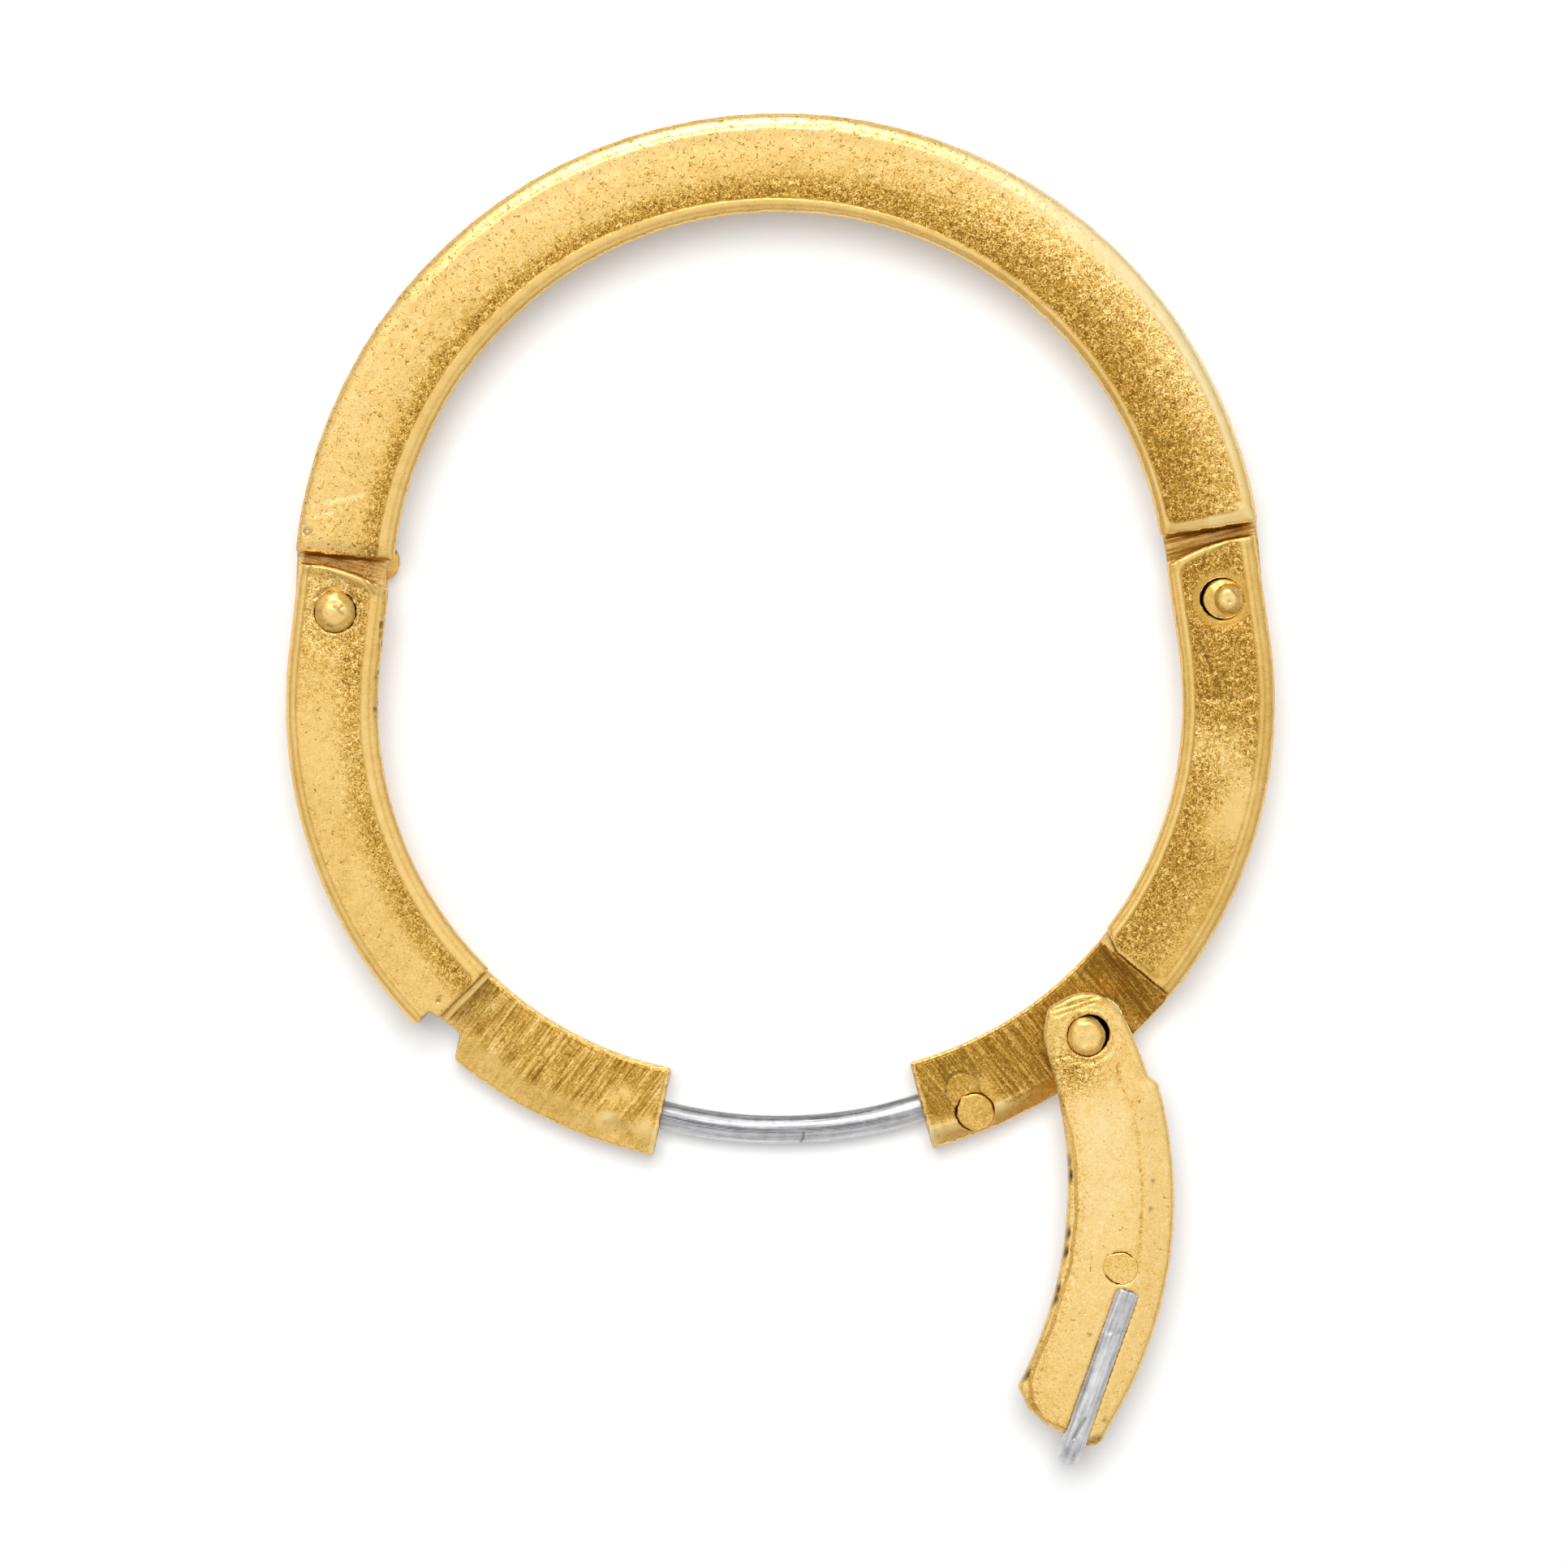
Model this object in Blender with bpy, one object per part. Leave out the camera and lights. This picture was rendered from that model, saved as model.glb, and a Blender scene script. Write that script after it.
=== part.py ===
"""Hinged, expandable finger-ring shank, shown open.

A rigid arch carries two hinged legs. A guide wire fixed in the right leg slides in the left one, and a latch
lever on the right leg hooks into the left leg when the ring is shut. The ring lies flat: its plane is XY, its
front faces +Z, and the origin is on the arch's rear face, at the middle of the crown.
"""

import math

import bpy
from mathutils import Matrix, Vector

MM = 0.001

# Arch
RING_BORE = 17.35 * MM
ARCH_WIDTH = 2.22 * MM
DEPTH = 2.40 * MM
RIM_WIDTH = 0.30 * MM
RIM_DROP = 0.14 * MM

# Hinges between the arch and the legs
HINGE_OUTSET = 0.17 * MM
HINGE_DROP = 0.156 * MM
HINGE_PIN_RADIUS = 0.43 * MM
HINGE_GAP = 0.27 * MM
TONGUE_THICKNESS = 0.72 * MM
TONGUE_INSET = 0.03 * MM
TONGUE_INSET_LEFT = 0.15 * MM
TONGUE_ROOT = 1.60 * MM
CHEEK_REACH_LEFT = 0.87 * MM
CHEEK_REACH_RIGHT = 1.19 * MM
REAR_CHEEK_EXTRA = 0.63 * MM
CHEEK_CROWN = 0.11 * MM
CHEEK_STRAIGHT = 1.00 * MM
CHEEK_SLOPE = math.radians(17.5)
SLOT_DROP = 0.45 * MM

# Legs
LEG_RADIUS = 9.31 * MM
LEG_WIDTH = 2.07 * MM
LEG_PIN_OUTSET = 0.156 * MM
OPEN_LEAN = math.radians(13.6)
CLOSE_ANGLE = math.radians(15.8)
SPLIT_GAP = 0.20 * MM
SPLIT_OFFSET = 0.13 * MM

# Guide wire and its two pins
GUIDE_WIRE_RADIUS = 0.32 * MM
GUIDE_OUTSET = 0.11 * MM
GUIDE_HEAD = 0.60 * MM
GUIDE_CLEARANCE = 0.10 * MM
STOP_PIN_RADIUS = 0.30 * MM
STOP_FROM_END = 0.85 * MM
STOP_BITE = 0.12 * MM
ANCHOR_PIN_RADIUS = 0.40 * MM
ANCHOR_FROM_END = 1.06 * MM
ANCHOR_BITE = 0.22 * MM
ANCHOR_TAIL = 0.80 * MM

# Latch lever
LEVER_THICKNESS = 0.94 * MM
LEVER_GAP = 0.06 * MM
LEVER_REST = math.radians(-93.2)
LEVER_EYE = 0.98 * MM
LEVER_EDGE_RADIUS = 9.60 * MM
LEVER_TURN = math.radians(-69.0)
LEVER_WIDTH = 2.40 * MM
LEVER_SKEW = math.radians(85.0)
LEVER_NECK_INSET = 0.17 * MM
LEVER_NECK_LENGTH = 0.84 * MM
LEVER_TOE_SHORT = 1.44 * MM
LEVER_NOSE_SHORT = 0.62 * MM
LEVER_TIP_BEVEL = (0.66 * MM, -0.61 * MM)
LEVER_TIP_POINT = (0.16 * MM, 0.35 * MM)
LEVER_TIP_ROUND = (0.24 * MM, 0.67 * MM)
PIVOT_FROM_END = 3.98 * MM
PIVOT_OUTSET = 0.33 * MM
PIVOT_PIN_RADIUS = 0.41 * MM
RIGHT_SHOULDER_CLEAR = 0.89 * MM
RIGHT_SHOULDER_SWEEP = 0.30 * MM

# Hook wire in the lever and its notch in the left leg
HOOK_REACH = 9.38 * MM
HOOK_WIRE_WIDTH = 0.47 * MM
HOOK_WIRE_LENGTH = 3.86 * MM
HOOK_WIRE_LEAN = math.radians(-17.3)
HOOK_WIRE_PROUD = 0.04 * MM
HOOK_BEND = 0.30 * MM
HOOK_FOOT = 0.35 * MM
NOTCH_DEPTH = 0.54 * MM
NOTCH_RISE = 0.08 * MM
NOTCH_NEAR_ROOT = 0.13 * MM
NOTCH_NEAR_LIP = 0.43 * MM
NOTCH_FAR = 0.72 * MM
HOOK_ROOT_CLEAR = 0.19 * MM
LEFT_SHOULDER_CLEAR = 0.22 * MM

# Detent plug in the lever, placed back from the hook, and its dimple in the left leg
DETENT_RADIUS = 0.34 * MM
DETENT_ALONG = 4.21 * MM
DETENT_ACROSS = 0.96 * MM
DETENT_TIP = 0.10 * MM
DIMPLE_RADIUS = 0.55 * MM
DIMPLE_CLEAR = 0.04 * MM

# Fits shared by all the pieces
RUNNING_CLEARANCE = 0.04 * MM
FIXED_CLEARANCE = 0.02 * MM
PIN_DOME = 0.20 * MM
PIN_RECESS = 0.03 * MM
OVERCUT = 1.00 * MM
OVERCUT_TURN = math.radians(8)

# Facet counts
ARCH_STEPS = 40
LEG_STEPS = 28
LEVER_STEPS = 14
GUIDE_STEPS = 24
ROUND_SIDES = 24
WIRE_SIDES = 16
SECTOR_STEPS = 6
DOME_STEPS = (0, 28, 54, 78)
CHEEK_STEPS = (1.0, 0.35, 0.0, -0.35, -1.0)
CHEEK_CUT_STEPS = (1.3, 0.35, 0.0, -0.35, -1.3)

LEFT = -1
RIGHT = 1

# Sizes worked out from the driving dimensions
arch_radius = RING_BORE / 2 + ARCH_WIDTH / 2
arch_inner = RING_BORE / 2
arch_outer = arch_inner + ARCH_WIDTH
arch_centre = Vector((0.0, HINGE_DROP))
hinge_x = arch_radius + HINGE_OUTSET
crown = HINGE_DROP + arch_radius
tongue_low = (DEPTH - TONGUE_THICKNESS) / 2
tongue_high = tongue_low + TONGUE_THICKNESS
tongue_round = arch_outer - TONGUE_INSET - hinge_x

leg_inner = LEG_RADIUS - LEG_WIDTH / 2
leg_outer = LEG_RADIUS + LEG_WIDTH / 2
leg_arm = LEG_RADIUS + LEG_PIN_OUTSET
pin_turn = math.pi / 2 + OPEN_LEAN
straight_turn = pin_turn - CHEEK_STRAIGHT / LEG_RADIUS
recess_floor = DEPTH - LEVER_THICKNESS - LEVER_GAP
lever_low = DEPTH - LEVER_THICKNESS
hook_radius = HOOK_WIRE_WIDTH / 2
guide_height = recess_floor / 2

material_cache = {}


def direction(angle):
    """Unit vector at an angle from +X."""
    return Vector((math.cos(angle), math.sin(angle)))


def turned(point, angle):
    """A plan point turned about the origin."""
    cosine = math.cos(angle)
    sine = math.sin(angle)
    return Vector((point.x * cosine - point.y * sine, point.x * sine + point.y * cosine))


def arc(centre, radius, start, end, steps):
    """Points along a circular arc, both ends included."""
    return [centre + radius * direction(start + (end - start) * i / steps) for i in range(steps + 1)]


def circles_meet(centre_a, radius_a, centre_b, radius_b, hand):
    """The point where two circles cross, on the left (hand 1) or right (hand -1) of the line from a to b."""
    gap = centre_b - centre_a
    along = (gap.length_squared + radius_a ** 2 - radius_b ** 2) / (2 * gap.length)
    across = math.sqrt(radius_a ** 2 - along ** 2)
    axis = gap.normalized()
    return centre_a + along * axis + hand * across * Vector((-axis.y, axis.x))


def hinge(side):
    """Plan place of a leg's hinge pin."""
    return Vector((side * hinge_x, 0.0))


def leg_centre(side, closing=0.0):
    """Centre of a leg's arcs, with the leg turned in by the closing angle."""
    lean = OPEN_LEAN - closing
    return Vector((side * (hinge_x - leg_arm * math.cos(lean)), -leg_arm * math.sin(lean)))


def leg_point(side, radius, turn, closing=0.0):
    """A point on a leg: radius from its arc centre, turn from straight down towards its own side.

    Near the hinge the leg runs straight on, and the turn is length along it over the leg's radius.
    """
    swing = min(turn, straight_turn) - closing
    straight = max(turn - straight_turn, 0.0) * LEG_RADIUS
    outward = Vector((side * math.sin(swing), -math.cos(swing)))
    upward = Vector((side * math.cos(swing), math.sin(swing)))
    return leg_centre(side, closing) + radius * outward + straight * upward


def leg_end(side):
    """Turn of a leg's end face, from the split that is left when the ring is shut."""
    reach = side * SPLIT_OFFSET + SPLIT_GAP / 2
    centre = side * leg_centre(side, CLOSE_ANGLE).x
    return CLOSE_ANGLE - math.asin((centre - reach) / LEG_RADIUS)


def guide_point(radius, swing):
    """A point at a radius from the guide wire's arc centre, swing from straight down towards +X."""
    return guide_centre + radius * Vector((math.sin(swing), -math.cos(swing)))


def lever_point(along, across):
    """A point of the open lever: along its pivot-to-hook line, across towards its convex edge."""
    axis = direction(LEVER_REST)
    return pivot + along * axis + across * Vector((-axis.y, axis.x))


# Places that line up across pieces
guide_centre = Vector((0.0, -hinge_x * math.tan(CLOSE_ANGLE / 2)))
left_end_mid = leg_point(LEFT, LEG_RADIUS, leg_end(LEFT))
right_end_mid = leg_point(RIGHT, LEG_RADIUS, leg_end(RIGHT))
guide_arc = (left_end_mid - guide_centre).length + GUIDE_OUTSET
left_end_swing = math.atan2(left_end_mid.x, guide_centre.y - left_end_mid.y)
right_end_swing = math.atan2(right_end_mid.x, guide_centre.y - right_end_mid.y)
stop_swing = left_end_swing - STOP_FROM_END / guide_arc
stop_width = (STOP_PIN_RADIUS + RUNNING_CLEARANCE) / guide_arc
head_swing = stop_swing - stop_width
guide_start = head_swing - GUIDE_HEAD / guide_arc
flat_end = stop_swing + 2 * CLOSE_ANGLE + stop_width
anchor_swing = right_end_swing + ANCHOR_FROM_END / guide_arc
guide_finish = anchor_swing + ANCHOR_TAIL / guide_arc
stop_place = guide_point(guide_arc, stop_swing)
stop_top = guide_height - GUIDE_WIRE_RADIUS + STOP_BITE
anchor_place = guide_point(guide_arc + GUIDE_WIRE_RADIUS + ANCHOR_PIN_RADIUS - ANCHOR_BITE, anchor_swing)

pivot_radius = LEG_RADIUS + PIVOT_OUTSET
pivot_turn = leg_end(RIGHT) + PIVOT_FROM_END / LEG_RADIUS
pivot = leg_point(RIGHT, pivot_radius, pivot_turn)
pivot_shut = leg_point(RIGHT, pivot_radius, pivot_turn, CLOSE_ANGLE)
hook_seat = leg_outer - NOTCH_DEPTH + HOOK_ROOT_CLEAR + hook_radius
hook_shut = circles_meet(pivot_shut, HOOK_REACH, leg_centre(LEFT, CLOSE_ANGLE), hook_seat, 1)
hook_from_centre = hook_shut - leg_centre(LEFT, CLOSE_ANGLE)
notch_turn = math.atan2(-hook_from_centre.x, -hook_from_centre.y) + CLOSE_ANGLE
lever_shut = math.atan2(hook_shut.y - pivot_shut.y, hook_shut.x - pivot_shut.x)
detent_offset = turned(Vector((HOOK_REACH - DETENT_ALONG, DETENT_ACROSS)), lever_shut)
detent_shut = pivot_shut + detent_offset - hinge(LEFT)
dimple_place = hinge(LEFT) + turned(detent_shut, -CLOSE_ANGLE)
left_shoulder = notch_turn + (hook_radius + LEFT_SHOULDER_CLEAR) / hook_seat
right_shoulder = pivot_turn + math.asin((LEVER_EYE + RIGHT_SHOULDER_CLEAR) / pivot_radius)


def counter_clockwise(outline):
    """The outline, turned round if its points run clockwise."""
    area = sum(a.x * b.y - b.x * a.y for a, b in zip(outline, outline[1:] + outline[:1]))
    return outline if area > 0 else outline[::-1]


def inset(outline, distance):
    """A counter-clockwise outline moved in by a distance, with mitred corners."""
    moved = []
    for before, here, after in zip(outline[-1:] + outline[:-1], outline, outline[1:] + outline[:1]):
        first = (here - before).normalized()
        second = (after - here).normalized()
        mitre = Vector((-first.y - second.y, first.x + second.x))
        moved.append(here + mitre * (distance / (1 + first.dot(second))))
    return moved


def solid(name, rings):
    """One closed body through rings of points, each ring counter-clockwise seen from the ring after it."""
    count = len(rings[0])
    points = [point for ring in rings for point in ring]
    faces = [tuple(range(count - 1, -1, -1))]
    for level in range(len(rings) - 1):
        base = level * count
        for i in range(count):
            j = (i + 1) % count
            faces.append((base + i, base + j, base + count + j, base + count + i))
    faces.append(tuple(range(len(points) - count, len(points))))
    mesh = bpy.data.meshes.new(name)
    mesh.from_pydata(points, [], faces)
    body = bpy.data.objects.new(name, mesh)
    bpy.context.scene.collection.objects.link(body)
    return body


def plate(name, outline, low, high, rim=0.0, drop=0.0):
    """A flat piece from its plan outline, with a bevelled rim on both faces where a rim width is given."""
    outline = counter_clockwise(outline)
    levels = [(low, 0.0), (high, 0.0)]
    if rim > 0:
        levels = [(low, rim), (low + drop, 0.0), (high - drop, 0.0), (high, rim)]
    rings = []
    for height, distance in levels:
        rings.append([(p.x, p.y, height) for p in inset(outline, distance)])
    return solid(name, rings)


def turning(name, centre, profile):
    """A round piece about a vertical axis, from (radius, height) pairs listed bottom to top."""
    rings = []
    for radius, height in profile:
        ring = arc(centre, radius, 0.0, 2 * math.pi * (1 - 1 / ROUND_SIDES), ROUND_SIDES - 1)
        rings.append([(p.x, p.y, height) for p in ring])
    return solid(name, rings)


def dome(radius, base, height):
    """Profile of a rounded end that rises from a base by a height (falls where the height is negative)."""
    steps = [math.radians(angle) for angle in DOME_STEPS]
    return [(radius * math.cos(step), base + height * math.sin(step)) for step in steps]


def drill(name, centre, radius, low, high):
    """A plain round cutter."""
    return turning(name, centre, [(radius, low), (radius, high)])


def guide_tube(name, centre, radius, wire, sections):
    """A tube along the guide's arc. Each section is (swing, wire scale, height the tube is cut flat at)."""
    rings = []
    for swing, scale, flat in sections:
        ring = []
        for i in range(WIRE_SIDES):
            angle = -2 * math.pi * i / WIRE_SIDES
            reach = radius + wire * scale * math.cos(angle)
            height = guide_height + wire * scale * math.sin(angle)
            place = centre + reach * Vector((math.sin(swing), -math.cos(swing)))
            ring.append((place.x, place.y, max(height, flat)))
        rings.append(ring)
    return solid(name, rings)


def combine(body, tool, operation):
    """Cut or join a body with a tool, which is used up."""
    step = body.modifiers.new(operation.lower(), "BOOLEAN")
    step.operation = operation
    step.object = tool
    graph = bpy.context.evaluated_depsgraph_get()
    mesh = bpy.data.meshes.new_from_object(body.evaluated_get(graph))
    body.modifiers.clear()
    body.data = mesh
    bpy.data.objects.remove(tool)


def cut(body, tool):
    combine(body, tool, "DIFFERENCE")


def join(body, tool):
    combine(body, tool, "UNION")


def metal(name, colour, roughness):
    """A plain metal, made once."""
    if name not in material_cache:
        material = bpy.data.materials.new(name)
        material.use_nodes = True
        shader = material.node_tree.nodes["Principled BSDF"]
        shader.inputs["Base Color"].default_value = (*colour, 1.0)
        shader.inputs["Metallic"].default_value = 1.0
        shader.inputs["Roughness"].default_value = roughness
        material_cache[name] = material
    return material_cache[name]


def yellow_gold():
    return metal("yellow_gold", (0.80, 0.56, 0.19), 0.34)


def white_wire():
    return metal("white_wire", (0.62, 0.62, 0.63), 0.30)


def place(body, origin, parent, material):
    """Put a piece's origin at a plan point, hang it on its parent and give it its metal."""
    body.data.transform(Matrix.Translation((-origin.x, -origin.y, 0.0)))
    body["plan_x"] = origin.x
    body["plan_y"] = origin.y
    body.parent = parent
    body.location = (origin.x - parent["plan_x"], origin.y - parent["plan_y"], 0.0)
    body.data.materials.clear()
    body.data.materials.append(material)
    body.data.shade_smooth()
    body.data.set_sharp_from_angle(angle=math.radians(30))


def arch_end(reach):
    """Angle above the arch's centre of the arch's end, over a hinge cheek of a given reach."""
    above = reach + CHEEK_CROWN + HINGE_GAP - HINGE_DROP
    return math.asin(above / arch_radius)


def arch_angle(side, above):
    """Angle from +X of a point of the arch that lies a given angle above the hinge line."""
    return above if side == RIGHT else math.pi - above


def tongue_outline(side):
    """Hinge tongue: from inside the arch's end, down to a round end about the hinge pin."""
    reach = CHEEK_REACH_RIGHT if side == RIGHT else CHEEK_REACH_LEFT + REAR_CHEEK_EXTRA
    top = arch_end(reach) + TONGUE_ROOT / arch_radius
    outer = arch_outer - TONGUE_INSET
    inner = arch_inner + (TONGUE_INSET if side == RIGHT else TONGUE_INSET_LEFT)
    steps = ARCH_STEPS // 5
    outer_low = -math.asin(HINGE_DROP / outer)
    inner_low = -math.asin(HINGE_DROP / inner)
    edge = arc(arch_centre, outer, top, outer_low, steps)[:-1]
    edge += arc(hinge(RIGHT), tongue_round, 0.0, -math.pi, ROUND_SIDES // 2)
    edge += arc(arch_centre, inner, inner_low, top, steps)
    return [Vector((side * p.x, p.y)) for p in edge]


def build_arch(root):
    """Arch with a bevelled rim, its left rear end cut back for the longer cheek, and a tongue each side."""
    start = arch_angle(RIGHT, arch_end(CHEEK_REACH_RIGHT))
    end = arch_angle(LEFT, arch_end(CHEEK_REACH_LEFT))
    outline = arc(arch_centre, arch_outer, start, end, ARCH_STEPS)
    outline += arc(arch_centre, arch_inner, end, start, ARCH_STEPS)
    arch = plate("upper_arch", outline, 0.0, DEPTH, RIM_WIDTH, RIM_DROP)
    rear_end = arch_angle(LEFT, arch_end(CHEEK_REACH_LEFT + REAR_CHEEK_EXTRA))
    low_end = arch_angle(LEFT, 0.0)
    setback = arc(arch_centre, arch_outer + OVERCUT, rear_end, low_end, 2)
    setback += arc(arch_centre, arch_inner - OVERCUT, low_end, rear_end, 2)
    cut(arch, plate("rear_setback", setback, -OVERCUT, tongue_low - FIXED_CLEARANCE))
    for side in (LEFT, RIGHT):
        join(arch, plate("tongue", tongue_outline(side), tongue_low, tongue_high))
        bore = HINGE_PIN_RADIUS + FIXED_CLEARANCE
        cut(arch, drill("tongue_bore", hinge(side), bore, -OVERCUT, DEPTH + OVERCUT))
    place(arch, Vector((0.0, crown)), root, yellow_gold())
    return arch


def cheek_line(side, reach, steps=CHEEK_STEPS):
    """Crowned and sloping top edge of a hinge cheek, from its outer corner to its inner one.

    Steps are shares of half the leg's width, so steps past 1 carry the line on beyond the leg's sides.
    """
    rise = LEG_WIDTH / 2 * math.tan(CHEEK_SLOPE - straight_turn + math.pi / 2)
    line = []
    for share in steps:
        height = reach + share * rise + CHEEK_CROWN * (1 - share ** 2)
        line.append(leg_point(side, LEG_RADIUS + share * LEG_WIDTH / 2, pin_turn + height / LEG_RADIUS))
    return line


def sector(side, start, end, inner, outer):
    """Plan outline of a piece of ring about a leg's centre, between two turns."""
    turns = [start + (end - start) * i / SECTOR_STEPS for i in range(SECTOR_STEPS + 1)]
    edge = [leg_point(side, outer, turn) for turn in turns]
    return edge + [leg_point(side, inner, turn) for turn in reversed(turns)]


def leg_blank(name, side, reach):
    """A leg before it is cut: a bevelled band from its end face to the crowned top of its hinge cheek."""
    start = leg_end(side)
    turns = [start + (straight_turn - start) * i / LEG_STEPS for i in range(LEG_STEPS + 1)]
    outline = [leg_point(side, leg_outer, turn) for turn in turns]
    outline += cheek_line(side, reach)
    outline += [leg_point(side, leg_inner, turn) for turn in reversed(turns)]
    return plate(name, outline, 0.0, DEPTH, RIM_WIDTH, RIM_DROP)


def cut_hinge_fork(leg, side):
    """The slot between a leg's two cheeks, open at the top and round about the tongue, and the pin's hole."""
    centre = hinge(side)
    reach = LEG_WIDTH + OVERCUT
    top = LEG_WIDTH * 2
    bed = tongue_round + RUNNING_CLEARANCE
    sill = math.asin(SLOT_DROP / bed)
    slot = [centre + Vector((-reach, top)), centre + Vector((-reach, -SLOT_DROP))]
    slot += arc(centre, bed, math.pi + sill, 2 * math.pi - sill, ROUND_SIDES // 2)
    slot += [centre + Vector((reach, -SLOT_DROP)), centre + Vector((reach, top))]
    cut(leg, plate("slot", slot, tongue_low - RUNNING_CLEARANCE, tongue_high + RUNNING_CLEARANCE))
    bore = HINGE_PIN_RADIUS + RUNNING_CLEARANCE
    cut(leg, drill("hinge_bore", centre, bore, -OVERCUT, DEPTH + OVERCUT))


def tunnel_shift():
    """Half the shift of the guide wire's arc centre, seen from the left leg, half way through the travel."""
    half = CLOSE_ANGLE / 2
    moved = turned(guide_centre - hinge(RIGHT), -2 * half) + turned(hinge(RIGHT) - hinge(LEFT), -half)
    return (moved + hinge(LEFT) - guide_centre) / 2


def notch_outline():
    """Hook notch: a sloping root, a straight far wall and a flared near wall that the hook pulls on."""
    root_radius = leg_outer - NOTCH_DEPTH
    mouth = leg_outer + OVERCUT
    flare = (NOTCH_NEAR_LIP - NOTCH_NEAR_ROOT) / NOTCH_DEPTH
    near_mouth = NOTCH_NEAR_LIP + flare * OVERCUT
    corners = [(root_radius, -NOTCH_NEAR_ROOT), (root_radius + NOTCH_RISE, NOTCH_FAR)]
    corners += [(mouth, NOTCH_FAR), (mouth, -near_mouth)]
    return [leg_point(LEFT, radius, notch_turn + along / radius) for radius, along in corners]


def build_left_leg(root):
    """Left leg: fork, recess, hook notch, dimple, the guide wire's tunnel and the stop pin's hole."""
    leg = leg_blank("left_leg", LEFT, CHEEK_REACH_LEFT + REAR_CHEEK_EXTRA)
    cut_hinge_fork(leg, LEFT)
    waste = cheek_line(LEFT, CHEEK_REACH_LEFT, CHEEK_CUT_STEPS)
    far = pin_turn + (CHEEK_REACH_LEFT + REAR_CHEEK_EXTRA + OVERCUT) / LEG_RADIUS
    waste += [leg_point(LEFT, radius, far) for radius in (leg_inner - OVERCUT, leg_outer + OVERCUT)]
    cut(leg, plate("front_cheek_end", waste, DEPTH / 2, DEPTH + OVERCUT))
    end_turn = leg_end(LEFT) - OVERCUT_TURN
    recess = sector(LEFT, end_turn, left_shoulder, leg_inner - OVERCUT, leg_outer + OVERCUT)
    cut(leg, plate("recess", recess, recess_floor, DEPTH + OVERCUT))
    cut(leg, plate("notch", notch_outline(), -OVERCUT, DEPTH + OVERCUT))
    depth = DETENT_TIP - LEVER_GAP + DIMPLE_CLEAR
    ball_height = recess_floor - depth + DIMPLE_RADIUS
    ball = dome(DIMPLE_RADIUS, ball_height, -DIMPLE_RADIUS)[::-1]
    cut(leg, turning("dimple", dimple_place, ball))
    shift = tunnel_shift()
    depth_swing = guide_start - 2 * CLOSE_ANGLE - GUIDE_CLEARANCE / guide_arc
    mouth_swing = left_end_swing + OVERCUT / guide_arc
    sections = []
    for i in range(GUIDE_STEPS // 2 + 1):
        swing = mouth_swing + (depth_swing - mouth_swing) * (1 - i * 2 / GUIDE_STEPS)
        sections.append((swing, 1.0, -OVERCUT))
    tunnel_radius = GUIDE_WIRE_RADIUS + GUIDE_CLEARANCE
    cut(leg, guide_tube("tunnel", guide_centre + shift, guide_arc, tunnel_radius, sections))
    bore = STOP_PIN_RADIUS + FIXED_CLEARANCE
    cut(leg, drill("stop_bore", stop_place, bore, -OVERCUT, guide_height))
    place(leg, hinge(LEFT), root, yellow_gold())
    return leg


def build_right_leg(root):
    """Right leg: fork, recess, the guide wire's socket, and the two pins' holes.

    The inner quarter of the recess's shoulder sweeps back, and the cut runs on past the leg's side at that slant.
    """
    leg = leg_blank("right_leg", RIGHT, CHEEK_REACH_RIGHT)
    cut_hinge_fork(leg, RIGHT)
    end_turn = leg_end(RIGHT) - OVERCUT_TURN
    sweep = right_shoulder + 2 * RIGHT_SHOULDER_SWEEP / leg_inner
    recess = sector(RIGHT, end_turn, right_shoulder, LEG_RADIUS, leg_outer + OVERCUT)[:SECTOR_STEPS + 1]
    recess += [leg_point(RIGHT, LEG_RADIUS - LEG_WIDTH / 4, right_shoulder)]
    recess += [leg_point(RIGHT, leg_inner - LEG_WIDTH / 4, sweep)]
    recess += [leg_point(RIGHT, leg_inner - OVERCUT, (sweep + end_turn) / 2)]
    recess += [leg_point(RIGHT, leg_inner - OVERCUT, end_turn)]
    cut(leg, plate("recess", recess, recess_floor, DEPTH + OVERCUT))
    mouth_swing = right_end_swing - OVERCUT / guide_arc
    depth_swing = guide_finish + FIXED_CLEARANCE / guide_arc
    steps = GUIDE_STEPS // 4
    swings = [mouth_swing + (depth_swing - mouth_swing) * i / steps for i in range(steps + 1)]
    socket_radius = GUIDE_WIRE_RADIUS + FIXED_CLEARANCE
    sections = [(swing, 1.0, -OVERCUT) for swing in swings]
    cut(leg, guide_tube("socket", guide_centre, guide_arc, socket_radius, sections))
    anchor_bore = ANCHOR_PIN_RADIUS + FIXED_CLEARANCE
    cut(leg, drill("anchor_bore", anchor_place, anchor_bore, -OVERCUT, DEPTH + OVERCUT))
    pivot_bore = PIVOT_PIN_RADIUS + FIXED_CLEARANCE
    cut(leg, drill("pivot_bore", pivot, pivot_bore, -OVERCUT, DEPTH + OVERCUT))
    place(leg, hinge(RIGHT), root, yellow_gold())
    return leg


def domed_pin(name, centre, radius, parent):
    """A rivet through the whole depth, flush behind and domed in front."""
    profile = [(radius, PIN_RECESS)] + dome(radius, DEPTH, PIN_DOME)
    pin = turning(name, centre, profile)
    place(pin, centre, parent, yellow_gold())


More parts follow.
